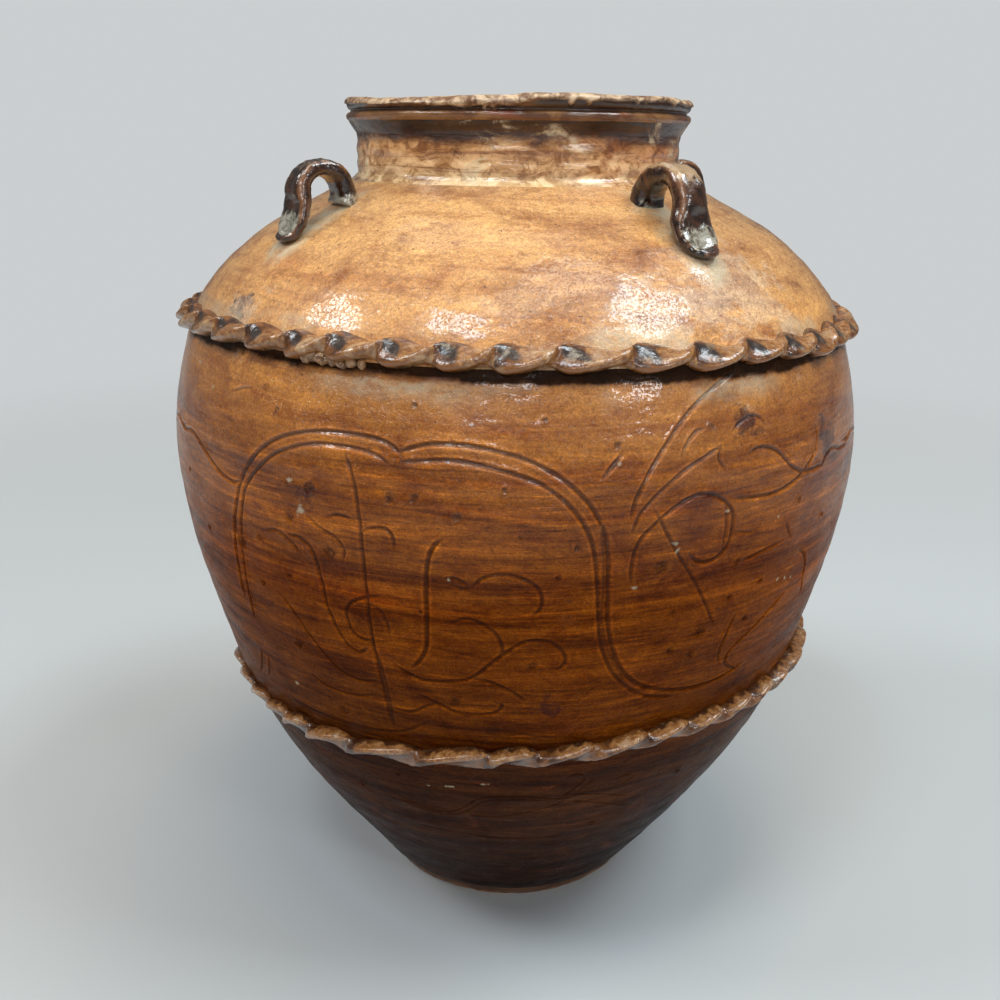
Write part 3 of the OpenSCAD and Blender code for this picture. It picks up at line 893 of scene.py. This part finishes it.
def raggedEdge(bearing):
    # height of the broken edge between rubbed clay and dark glaze
    spot = onJar(bearing, lip["outer"], 0)
    wide = glazedFace(bearing)
    edge = 468.6 + 1.6 * wide + 1.5 * ripple(spot, 26, 41) + 1.5 * ripple(spot, 8, 42)
    drip = max(ripple(spot, 3.2, 43) - 0.25, 0) * 9 * ease(-0.05, 0.3, ripple(spot, 30, 44))
    return edge - drip - 2.4 * (1 - wide) * ease(-40, -20, bearing) * ease(140, 60, abs(bearing))


def makeLip():
    low, rim = jar["lipFoot"], jar["rim"]
    inner, outer, bead = lip["inner"], lip["outer"], lip["bead"]
    half = bead / 2
    rollRound = lip["roll"] * 0.44
    outline = ([(inner, low), (outer - 2, low)] + arc((outer - 0.5 - half, low + half), half, -60, 62, 6)
               + [(outer - 2.6, low + bead + 0.1), (outer - 2.5, low + bead + 0.9)]
               + arc((outer - rollRound, rim - 0.5 - rollRound), rollRound, -52, 88, 14)
               + [(88.5, rim - 0.35), (86, rim - 0.4)] + arc((inner + 4, rim - 4.4), 4, 85, 180, 8)
               + [(inner, low + 6), (inner, low + 3)])
    bm = spinOutline(outline, lip["steps"])
    layers = newLayers(bm, "worn", "crease")
    for vert in bm.verts:
        bearing, radius, z = polar(vert.co)
        if z < low + 0.3 or radius < inner + 0.5 and z < rim - 6:
            continue
        spot = onJar(bearing, radius, z)
        bare = ease(-0.25, 0.35, z - raggedEdge(bearing))
        top = ease(466, 471, z)
        outside = ease(88, 94, radius)
        push = 0.35 * ripple(spot, 20, 45) + 0.3 * ripple(spot, 6, 46) - 0.3
        push += outside * (0.55 * bare - 0.9 * (1 - bare) * ease(464, 466, z))
        sink = top * (0.55 + 1.0 * ripple(onJar(bearing, 92, 0), 30, 47) + 0.5 * ripple(spot, 8, 48))
        sink += top * 1.3 * ease(6, -6, bearing) * ease(-80, -50, bearing)
        vert.co = onJar(bearing, min(radius + push * (0.3 + 0.7 * outside), 96.6), min(z - max(sink, 0), rim))
        # crease: painted shade in the groove between bead and roll, and the roll's own dark glaze on its
        # glazed face
        face = glazedFace(bearing) * ease(465, 466.2, z) * (1 - bare)
        setMarks(vert, layers, worn=max(bare, ease(469.5, 471, z)),
                 crease=max(math.exp(-((z - 465.2) / 1.1) ** 2), face) * outside)
    finishPiece(bm, lip["name"], ["lip_ring"], makeLipGlaze())


def makeLipGlaze():
    material, tree = newMaterial("rubbedLipGlaze")
    cloud = grain(tree, 30, 60, 6, 0.9, (1, 3, 2), 0.65)
    colour = blend(tree, spread(tree, cloud, 0.42, 0.6), (0.13, 0.045, 0.016), (0.30, 0.135, 0.045))
    red = grain(tree, 24, 90, 5, 0.8, (7, 3, 2), 0.6)
    colour = stain(tree, colour, red, 0.55, 0.68, 0.8, (0.28, 0.055, 0.018))
    # near black along the crease: painted shade in the groove and the roll's dark glaze
    colour = blend(tree, times(tree, markOf(tree, "crease"), 0.85), colour, (0.022, 0.009, 0.006))
    crumbs = grain(tree, 150, 150, 5, 0.6, (2, 6, 6), 0.65)
    clay = blend(tree, spread(tree, crumbs, 0.40, 0.58), (0.19, 0.075, 0.026), (0.68, 0.47, 0.28))
    scorch = grain(tree, 60, 120, 5, 0.7, (9, 2, 6), 0.65)
    clay = tint(tree, clay, scorch, 0.5, 0.62, 0.8, (0.42, 0.28, 0.2))
    worn = markOf(tree, "worn")
    gritty = grain(tree, 520, 520, 3, 0.2)
    lumps = grain(tree, 140, 200, 4, 0.4, (7, 1, 8))
    return settle(material, {
        "Base Color": blend(tree, worn, colour, clay), "Roughness": span(tree, worn, 0, 1, 0.26, 0.62),
        "Normal": bump(tree, (gritty, 0.4, 0.0005), (lumps, 0.5, 0.001)),
        "Coat Weight": 0.35, "Coat Roughness": 0.18,
    })


# A rope is a strip of clay pressed on while it was twisted. It crosses over itself at each bearing
# in crossings; the strip leans slowly in the middle of a turn and quickly where it crosses.
upperRope = {
    "name": "upperRope", "node": "upper_rope_band", "steps": 1176, "sides": 26, "half": 7.6, "thick": 2.5,
    "crossings": [-61, -52, -42.3, -33.7, -26.4, -18.4, -10.6, -2.7, 5.5, 15.7, 24.8, 33.8, 42, 49.6,
                  57.5, 65.5],
    "rest": 27, "flip": 1, "seed": 5, "pressed": 0, "lens": 1,
}
lowerRope = {
    "name": "lowerRope", "node": "lower_rope_band", "steps": 1176, "sides": 26, "half": 7.0, "thick": 2.3,
    "crossings": [-58, -51, -44.3, -37.6, -28.5, -15.9, -3.8, 3.9, 13.2, 22, 29.7, 37.3, 44.6, 51.7, 58.5],
    "rest": 28, "flip": -1, "seed": 9, "pressed": 0.42, "lens": 0,
}
leanStations = [(0, -98), (0.14, -74), (0.35, -60), (0.6, -46), (0.78, -24), (0.9, 18), (1, 82)]
girthStations = [(0, 0.66), (0.14, 0.94), (0.32, 1.03), (0.58, 0.92), (0.8, 0.70), (0.92, 0.58), (1, 0.66)]


def turnAt(stations, t, gain):
    # value at a share of one turn, which grows by gain from turn to turn
    before, after = stations[-2], stations[1]
    points = [(before[0] - 1, before[1] - gain), *stations, (after[0] + 1, after[1] + gain)]
    for i in range(1, len(points) - 2):
        (ta, a), (tb, b) = points[i], points[i + 1]
        if ta <= t <= tb:
            leave = (b - points[i - 1][1]) / (tb - points[i - 1][0])
            arrive = (points[i + 2][1] - a) / (points[i + 2][0] - ta)
            return hermite(a, b, leave * (tb - ta), arrive * (tb - ta), (t - ta) / (tb - ta))
    return points[-2][1]


def ropeTurns(rope):
    # where the rope crosses over itself, all the way round, and how each turn differs from the next
    chance = random.Random(rope["seed"])
    crossings = list(rope["crossings"])
    last = crossings[0] + 360
    gap = (last - crossings[-1]) / rope["rest"]
    crossings += [crossings[-1] + gap * (i + 1 + 0.12 * (chance.random() - 0.5))
                  for i in range(rope["rest"] - 1)]
    turns = [{"size": 0.93 + 0.16 * chance.random(), "up": 1.2 * (chance.random() - 0.5),
              "lean": 16 * (chance.random() - 0.5)} for _ in crossings]
    return crossings + [last], turns + [turns[0]]


def stripAt(rope, crossings, turns, bearing):
    # lean, size, lift and share of the turn of the strip at a bearing
    turned = bearing if bearing >= crossings[0] else bearing + 360
    unit = max(i for i in range(len(crossings) - 1) if crossings[i] <= turned + 1e-6)
    t = min(max((turned - crossings[unit]) / (crossings[unit + 1] - crossings[unit]), 0), 1)
    here, after = turns[unit], turns[unit + 1]
    mix = ease(0.6, 1, t)
    size = here["size"] * (1 - mix) + after["size"] * mix
    up = here["up"] * (1 - mix) + after["up"] * mix
    swing = here["lean"] * math.sin(math.pi * t) ** 2
    way = t if rope["flip"] > 0 else 1 - t
    lean = rope["flip"] * turnAt(leanStations, way, 180) + swing + 180 * unit
    return math.radians(lean), size * turnAt(girthStations, way, 0), up, t


def makeRope(rope, heightAt):
    crossings, turns = ropeTurns(rope)
    bm = bmesh.new()
    far = 100
    stand = Matrix.Translation((far, 0, 0)) @ Matrix.Rotation(math.pi / 2, 4, "X")
    ring = bmesh.ops.create_circle(bm, segments=rope["sides"], radius=1.0, matrix=stand)
    spinRound(bm, ring["verts"] + bm.edges[:], rope["steps"], 0.0001)
    layers = newLayers(bm, "crest", "hollow", "rim", "grog")
    cache = {}
    for vert in bm.verts:
        bearing, radius, high = polar(vert.co)
        around = math.atan2(high, radius - far)
        key = round(bearing, 3)
        if key not in cache:
            cache[key] = stripAt(rope, crossings, turns, bearing)
        lean, size, up, t = cache[key]
        c, s = math.cos(lean), math.sin(lean)
        crossing = abs(c)
        level, sheer = math.cos(around), math.sin(around)
        thick = rope["thick"] * (1 + 0.35 * crossing ** 3)
        along = rope["half"] * size * math.copysign(abs(level) ** 0.8, level)
        through = thick * math.copysign(abs(sheer) ** 0.9, sheer)
        through *= 1 - 0.8 * (1 - abs(level)) * (1 - crossing)
        behind = ease(-1, -3.5, level * rope["thick"] * c - sheer * rope["half"] * s)
        out = 3.1 - 0.3 * crossing + along * c - through * s
        rise = up + along * s + through * c
        middle = heightAt(bearing)
        across, upward = wallNormal(middle)
        base = Vector((wallRadius(middle), middle)) + rise * Vector((-upward, across))
        foot = wallRadius(base[1]) - base[0]
        sample = onJar(bearing, 185, rise + out)
        rough = 0.35 * ripple(sample, 5, 50) + 0.16 * ripple(sample, 1.9, 51)
        # the left end of the front was pressed flatter
        out *= 1 - rope["pressed"] * ease(-30, -56, bearing) * ease(-120, -80, bearing)
        lifted = max(out + foot * across, -1.6)
        lifted += (-1.6 - lifted) * behind
        lifted += rough if lifted > 0 else 0
        place = Vector((wallRadius(base[1]), base[1])) + lifted * Vector((across, upward))
        vert.co = onJar(bearing, min(place[0], jar["widest"]), place[1])
        level = rise / rope["half"]
        if rope["lens"]:
            # each turn has painted shade in the hollow on its left, is crumbly on its right, and has a rubbed
            # edge
            aslant = abs(level - 0.42 + 1.5 * (t - 0.08))
            lens = ease(0.02, 0.10, t) * ease(0.58, 0.30, t)
            hollow = lens * ease(0.62, 0.22, aslant) * ease(0.92, 0.7, abs(level))
            crest = ease(0.22, 0.5, t) * ease(0.9, 0.5, abs(level + 0.1))
            rim = ease(0.5, 0.8, abs(level)) * ease(0.8, 2.2, lifted)
        else:
            # on the lower rope, hollow is a painted shade under the strip by the wall, and crest is its top
            # side, tan glaze with a painted highlight
            hollow = ease(4.2, 1.4, lifted) * ease(0.3, -0.15, level)
            crest = max(ease(0.15, 0.7, level) * ease(0.4, 2.2, lifted),
                        0.42 * ease(4.8, 6.6, lifted))
            rim = ease(-0.2, -0.55, level) * ease(2.0, 4.5, lifted)
        setMarks(vert, layers, hollow=hollow, crest=crest, rim=rim)
    return bm


def makeRopeGlaze():
    material, tree = newMaterial("rubbedRopeGlaze")
    cloud = grain(tree, 70, 70, 6, 0.8, (1, 3, 2), 0.65)
    crumbs = grain(tree, 420, 420, 4, 0.5, (3, 3, 3), 0.7)
    tan = blend(tree, spread(tree, crumbs, 0.38, 0.66), (0.20, 0.068, 0.017), (0.43, 0.20, 0.065))
    colour = blend(tree, spread(tree, cloud, 0.4, 0.62), (0.055, 0.018, 0.006), (0.20, 0.07, 0.018))
    rim = fray(tree, markOf(tree, "rim"), cloud, 0.2, 0.8, -0.3, 0.3)
    colour = stain(tree, colour, rim, 0.35, 0.9, 0.9, (0.27, 0.10, 0.026))
    # crest: tan broken glaze; its cream where highest is crumbs on the upper rope and a painted highlight
    # along the top of the lower rope
    crest = fray(tree, markOf(tree, "crest"), cloud, 0.2, 0.8, -0.45, 0.45)
    colour = stain(tree, colour, crest, 0.35, 0.75, 1.0, tan)
    colour = stain(tree, colour, crest, 0.98, 1.25, 0.5, (0.66, 0.46, 0.28))
    # hollow: painted shade, near black
    hollow = fray(tree, markOf(tree, "hollow"), cloud, 0.2, 0.8, -0.3, 0.3)
    colour = stain(tree, colour, hollow, 0.3, 0.95, 0.93, (0.024, 0.015, 0.012))
    pale = grain(tree, 110, 110, 5, 0.5, (5, 5, 2), 0.6)
    colour = stain(tree, colour, pale, 0.56, 0.7, 0.3, (0.52, 0.36, 0.21))
    grog = blend(tree, spread(tree, crumbs, 0.38, 0.56), (0.11, 0.040, 0.013), (0.38, 0.20, 0.085))
    lumps = grain(tree, 300, 300, 3, 0.4, (7, 1, 8))
    normal = bump(tree, (grain(tree, 900, 900, 3, 0.2), 0.35, 0.0003), (lumps, 0.5, 0.0008))
    return settle(material, {
        "Base Color": blend(tree, markOf(tree, "grog"), colour, grog),
        "Roughness": span(tree, pale, 0.3, 0.7, 0.2, 0.42), "Normal": normal, "Coat Normal": normal,
        "Coat Weight": 0.7, "Coat Roughness": 0.1,
    })


ropeMaterial = makeRopeGlaze()


# Lumps of grog where the two ends of the upper rope were pressed together, as (bearing, height, size)
spliceLumps = [
    (-29.4, 361.4, 4.0), (-28.2, 364.6, 3.6), (-27.4, 360.2, 3.6), (-25.6, 359.2, 3.0),
    (-24.2, 358.8, 2.6), (-22.6, 358.8, 2.4), (-21.2, 359.0, 2.1), (-30.2, 358.8, 2.6),
]


def addLumps(bm):
    grog = bm.verts.layers.float["grog"]
    for k, (bearing, z, size) in enumerate(spliceLumps):
        across, up = wallNormal(z)
        middle = onJar(bearing, wallRadius(z) + across * size * 0.2, z + up * size * 0.2)
        lump = bmesh.ops.create_icosphere(bm, subdivisions=4, radius=size, matrix=Matrix.Translation(middle))
        for vert in lump["verts"]:
            grown = 1 + 0.45 * ripple(vert.co, 3.4, 70 + k) + 0.14 * ripple(vert.co, 1.3, 71 + k)
            vert.co = middle + (vert.co - middle) * grown
            vert[grog] = 1


def makeUpperRope():
    bm = makeRope(upperRope, upperRopeHeight)
    addLumps(bm)
    finishPiece(bm, upperRope["name"], [upperRope["node"]], ropeMaterial)


def makeLowerRope():
    bm = makeRope(lowerRope, lowerRopeHeight)
    finishPiece(bm, lowerRope["name"], [lowerRope["node"]], ropeMaterial)


def strapLine(piece, t):
    # t runs 0 to 1 round the arch and 1 to 2 along the tongue; the answer is (radius, height)
    out = lug["out"] + piece["further"]
    thick = lug["thick"] * piece["thick"]
    tongue = lug["tongue"] * piece["tongue"]
    middle = Vector((out, shoulderHeight(out) + lug["eyeUp"] + piece["higher"]))
    lineRadius = lug["eye"] * piece["eye"] + thick / 2
    if t <= 1:
        a = math.radians(lug["arch"] * (1 - t))
        return middle + lineRadius * Vector((math.cos(a), math.sin(a)))
    across, up = wallNormal(shoulderHeight(out + tongue))
    end = Vector((out + tongue, shoulderHeight(out + tongue))) + thick * 0.2 * Vector((across, up))
    start = middle + Vector((lineRadius, 0))
    spot = hermite(start, end, Vector((0, -tongue)), tongue * Vector((up, -across)), t - 1)
    return spot + lug["tipLift"] * ease(1.72, 2, t) * Vector((across, up))


def strapShape(piece, t):
    # half width and half thickness of the strap
    wide, thick = lug["wide"] * piece["wide"] / 2, lug["thick"] * piece["thick"] / 2
    if t <= 1:
        side = abs(t - 0.6)
        return wide * (0.86 + 0.5 * side), thick * (0.96 + 0.3 * side)
    u = t - 1
    return (wide * (1.06 + 0.3 * math.sin(math.pi * u) - 0.5 * u ** 4),
            thick * (1.08 - 0.4 * u - 0.36 * u ** 4))


def stackRings(bm, layers, total):
    # a ring of points for each step along the strap, marked with its step and its angle round the strap
    ring = bmesh.ops.create_circle(bm, cap_ends=True, segments=lug["sides"], radius=1.0)["verts"]
    for vert in ring:
        vert[layers["around"]] = math.atan2(vert.co[1], vert.co[0])
    cap = list(bm.faces)[0]
    for i in range(total):
        grown = bmesh.ops.extrude_face_region(bm, geom=[cap])
        newCap = [g for g in grown["geom"] if isinstance(g, bmesh.types.BMFace)][0]
        if i > 0:
            bmesh.ops.delete(bm, geom=[cap], context="FACES_ONLY")
        for vert in [g for g in grown["geom"] if isinstance(g, bmesh.types.BMVert)]:
            vert[layers["step"]] = i + 1
        cap = newCap


def makeLug(k):
    piece = lugs[k]
    archSteps, tongueSteps = lug["archSteps"], lug["tongueSteps"]
    bm = bmesh.new()
    layers = newLayers(bm, "pool", "ridge", "crackle", "step", "around")
    stackRings(bm, layers, archSteps + tongueSteps)
    turn = math.radians(piece["bearing"])
    for vert in bm.verts:
        step = vert[layers["step"]]
        t = step / archSteps if step <= archSteps else 1 + (step - archSteps) / tongueSteps
        around = vert[layers["around"]]
        here = strapLine(piece, t)
        ahead = strapLine(piece, min(t + 0.01, 2)) - strapLine(piece, max(t - 0.01, 0))
        ahead.normalize()
        out = Vector((-ahead[1], ahead[0]))
        halfWide, halfThick = strapShape(piece, t)
        c, s = math.cos(around), math.sin(around)
        across = halfWide * math.copysign(abs(c) ** 0.76, c)
        lift = halfThick * math.copysign(abs(s) ** 0.82, s)
        # a shallow trough runs down the outside of the strap and along the tongue
        if s > 0:
            trough = (0.7 + 1.5 * ease(0.9, 1.3, t)) * ease(0.15, 0.4, t) * ease(2, 1.8, t)
            lift -= trough * (1 - abs(c)) ** 2 * s
        if t > 1.88:
            shrink = math.sqrt(max(1 - ((t - 1.88) / 0.12) ** 2 * 0.85, 0))
            across *= shrink
            lift *= shrink
        spot = here + lift * out
        seed = (spot[0], across + 40 * k, spot[1])
        lumpy = 0.6 * ripple(seed, 7, 90) + 0.35 * ripple(seed, 2.8, 91) + 0.14 * ripple(seed, 1.2, 93)
        spot = spot + lumpy * out * (1 if s > 0 else -1)
        across *= 1 + 0.09 * ripple((spot[0], 40 * k, spot[1]), 8, 92)
        r, z = spot
        stretch = t + 0.12 * ripple(seed, 6, 94)
        # the pale pool on the tongue's top is pale glaze, partly a painted highlight; the one at the inner
        # foot is pale glaze
        pool = ease(1.22, 1.52, stretch) * ease(1.90, 1.78, stretch) * ease(0.1, 0.5, s)
        arch = ease(0.22, 0.4, t) * ease(0.92, 0.74, t)
        edge = math.exp(-((abs(c) - 0.84) / 0.12) ** 2)
        setMarks(vert, layers, pool=max(pool * ease(0.98, 0.72, abs(c)), ease(0.24, 0.04, stretch)),
                 crackle=piece["crackle"] * arch * ease(0.25, 0.7, s),
                 ridge=edge * ease(0.1, 0.5, s) * ease(0.15, 0.4, t))
        x, y = across, -r
        vert.co = (x * math.cos(turn) - y * math.sin(turn), x * math.sin(turn) + y * math.cos(turn), z)
    bmesh.ops.remove_doubles(bm, verts=bm.verts, dist=0.001)
    finishPiece(bm, piece["name"], [piece["node"]], lugMaterial)


def makeLugGlaze():
    material, tree = newMaterial("blackBrownLugGlaze")
    cloud = grain(tree, 90, 90, 6, 0.8, (1, 3, 2), 0.65)
    colour = blend(tree, spread(tree, cloud, 0.42, 0.62), (0.018, 0.008, 0.005), (0.085, 0.030, 0.012))
    ridge = times(tree, markOf(tree, "ridge"), spread(tree, cloud, 0.36, 0.56))
    colour = blend(tree, ridge, colour, (0.30, 0.13, 0.055))
    crumble = grain(tree, 380, 380, 4, 0.5, (3, 6, 3), 0.7)
    bare = fray(tree, markOf(tree, "crackle"), crumble, 0.3, 0.7, -0.7, 0.2)
    colour = stain(tree, colour, bare, 0.1, 0.7, 0.85, (0.52, 0.33, 0.18))
    # the pale pool colour: milky glaze, partly a painted highlight on the tongue
    milkAndSheenGrain = grain(tree, 190, 190, 7, 1.2, (6, 1, 5), 0.72)
    milkyAndSheen = blend(tree, spread(tree, milkAndSheenGrain, 0.42, 0.6), (0.20, 0.17, 0.12), (0.50, 0.46, 0.36))
    pool = fray(tree, markOf(tree, "pool"), milkAndSheenGrain, 0.3, 0.7, -0.75, 0.35)
    lumps = grain(tree, 240, 240, 4, 0.4, (7, 1, 8))
    normal = bump(tree, (grain(tree, 800, 800, 3, 0.2), 0.25, 0.0003), (lumps, 0.5, 0.001))
    return settle(material, {
        "Base Color": stain(tree, colour, pool, 0.2, 0.8, 0.85, milkyAndSheen),
        "Roughness": span(tree, cloud, 0.3, 0.7, 0.16, 0.34), "Normal": normal, "Coat Normal": normal,
        "Coat Weight": 0.9, "Coat Roughness": 0.06,
    })


lugMaterial = makeLugGlaze()

makeFootSlab()
makeLowerCone()
makeBellyWall()
makeShoulderWall()
makeCollar()
makeLip()
makeLowerRope()
makeUpperRope()
for k in range(len(lugs)):
    makeLug(k)
print("stage: jar made")


# Room: a pale floor that runs into a pale distance, and soft lamps, each given by the spot
# it shines on and where it stands
room = {
    "floor": (0.52, 0.53, 0.53), "size": 30.0, "distance": (0.60, 0.62, 0.63), "skyLight": 0.22,
    "fadeFrom": 0.55, "fadeTo": 1.7,
    "lamps": [
        {"name": "lampLeft", "spot": (-0.075, -0.155, 0.376), "bearing": -84, "up": 46, "away": 3.2,
         "size": (1.0, 0.65), "power": 35, "colour": (0.95, 0.98, 1.0)},
        {"name": "lampTopLeft", "spot": (-0.023, -0.171, 0.3775), "bearing": -33, "up": 64, "away": 3.2,
         "size": (0.8, 0.6), "power": 26, "colour": (0.74, 0.89, 1.0)},
        {"name": "lampRight", "spot": (0.062, -0.156, 0.383), "bearing": 84, "up": 59, "away": 3.2,
         "size": (1.4, 1.1), "power": 64, "colour": (0.82, 0.93, 1.0)},
        {"name": "lampTop", "spot": (0.009, -0.160, 0.391), "bearing": 52, "up": 84, "away": 3.2,
         "size": (2.0, 0.9), "power": 36, "colour": (1.0, 0.90, 0.70)},
        {"name": "lampFront", "spot": (0.0, -0.19, 0.33), "bearing": -5, "up": 31, "away": 3.4,
         "size": (1.2, 0.5), "power": 22, "colour": (0.94, 0.97, 1.0)},
        {"name": "lampFrontRight", "spot": (0.09, -0.165, 0.31), "bearing": 42, "up": 24, "away": 3.4,
         "size": (0.6, 0.5), "power": 15, "colour": (0.94, 0.97, 1.0)},
        {"name": "lampBack", "spot": (0.0, 0.0, 0.42), "bearing": -168, "up": 60, "away": 3.2,
         "size": (1.6, 1.2), "power": 7, "colour": (1.0, 1.0, 1.0)},
    ],
}


def makeFloor():
    bm = bmesh.new()
    bmesh.ops.create_grid(bm, x_segments=2, y_segments=2, size=room["size"] / 2)
    mesh = bpy.data.meshes.new("floor")
    bm.to_mesh(mesh)
    bm.free()
    piece = bpy.data.objects.new("floor", mesh)
    bpy.context.scene.collection.objects.link(piece)
    material, tree = newMaterial("paleFloor")
    settle(material, {"Base Color": (*room["floor"], 1), "Roughness": 0.8})
    # to the eye alone, the floor turns into the distance away from the jar
    rays = addNode(tree, "LightPath")
    away = addNode(tree, "VectorMath", {0: placeOf(tree)}, operation="LENGTH").outputs["Value"]
    share = times(tree, spread(tree, away, room["fadeFrom"], room["fadeTo"]), rays.outputs["Is Camera Ray"])
    lit = tree.nodes["Principled BSDF"].outputs[0]
    plain = addNode(tree, "Emission", {"Color": (*room["distance"], 1)})
    mixed = addNode(tree, "MixShader", {0: share, 1: lit, 2: plain.outputs[0]})
    tree.links.new(mixed.outputs[0], tree.nodes["Material Output"].inputs["Surface"])
    mesh.materials.append(material)


def makeRoom():
    makeFloor()
    for lamp in room["lamps"]:
        a, e = math.radians(lamp["bearing"]), math.radians(lamp["up"])
        toward = Vector((math.sin(a) * math.cos(e), -math.cos(a) * math.cos(e), math.sin(e)))
        light = bpy.data.lights.new(lamp["name"], "AREA")
        light.shape = "RECTANGLE"
        light.size, light.size_y = lamp["size"]
        light.energy = lamp["power"]
        light.color = lamp["colour"]
        item = bpy.data.objects.new(lamp["name"], light)
        item.location = Vector(lamp["spot"]) + lamp["away"] * toward
        item.rotation_euler = toward.to_track_quat("Z", "Y").to_euler()
        bpy.context.scene.collection.objects.link(item)
    world = bpy.data.worlds.new("room")
    bpy.context.scene.world = world
    world.use_nodes = True
    tree = world.node_tree
    tree.nodes.clear()
    rays = addNode(tree, "LightPath")
    colour = (*room["distance"], 1)
    seen = addNode(tree, "Background", {"Color": colour, "Strength": 1.0})
    soft = addNode(tree, "Background", {"Color": colour, "Strength": room["skyLight"]})
    lights = {0: rays.outputs["Is Camera Ray"], 1: soft.outputs[0], 2: seen.outputs[0]}
    mixed = addNode(tree, "MixShader", lights)
    addNode(tree, "OutputWorld", {0: mixed.outputs[0]})


makeRoom()
print("stage: room lit")


camera = {
    "place": (0, -0.59828, 0.45071), "lens": 36, "sensor": 36,
    "right": (0.99980128, 0.01697051, 0.01045948), "up": (-0.01557936, 0.337825, 0.94107999),
    "forward": (-0.01243714, 0.94105593, -0.33802226),
}


def makeCamera():
    data = bpy.data.cameras.new("camera")
    data.lens, data.sensor_width = camera["lens"], camera["sensor"]
    data.clip_start = 0.01
    item = bpy.data.objects.new("camera", data)
    bpy.context.scene.collection.objects.link(item)
    right, up, forward = (Vector(camera[key]) for key in ("right", "up", "forward"))
    turn = Matrix((right, up, -forward)).transposed().to_4x4()
    item.matrix_world = Matrix.Translation(camera["place"]) @ turn
    bpy.context.scene.camera = item


makeCamera()
bpy.context.scene.view_settings.view_transform = "Standard"

print("stage: ready")
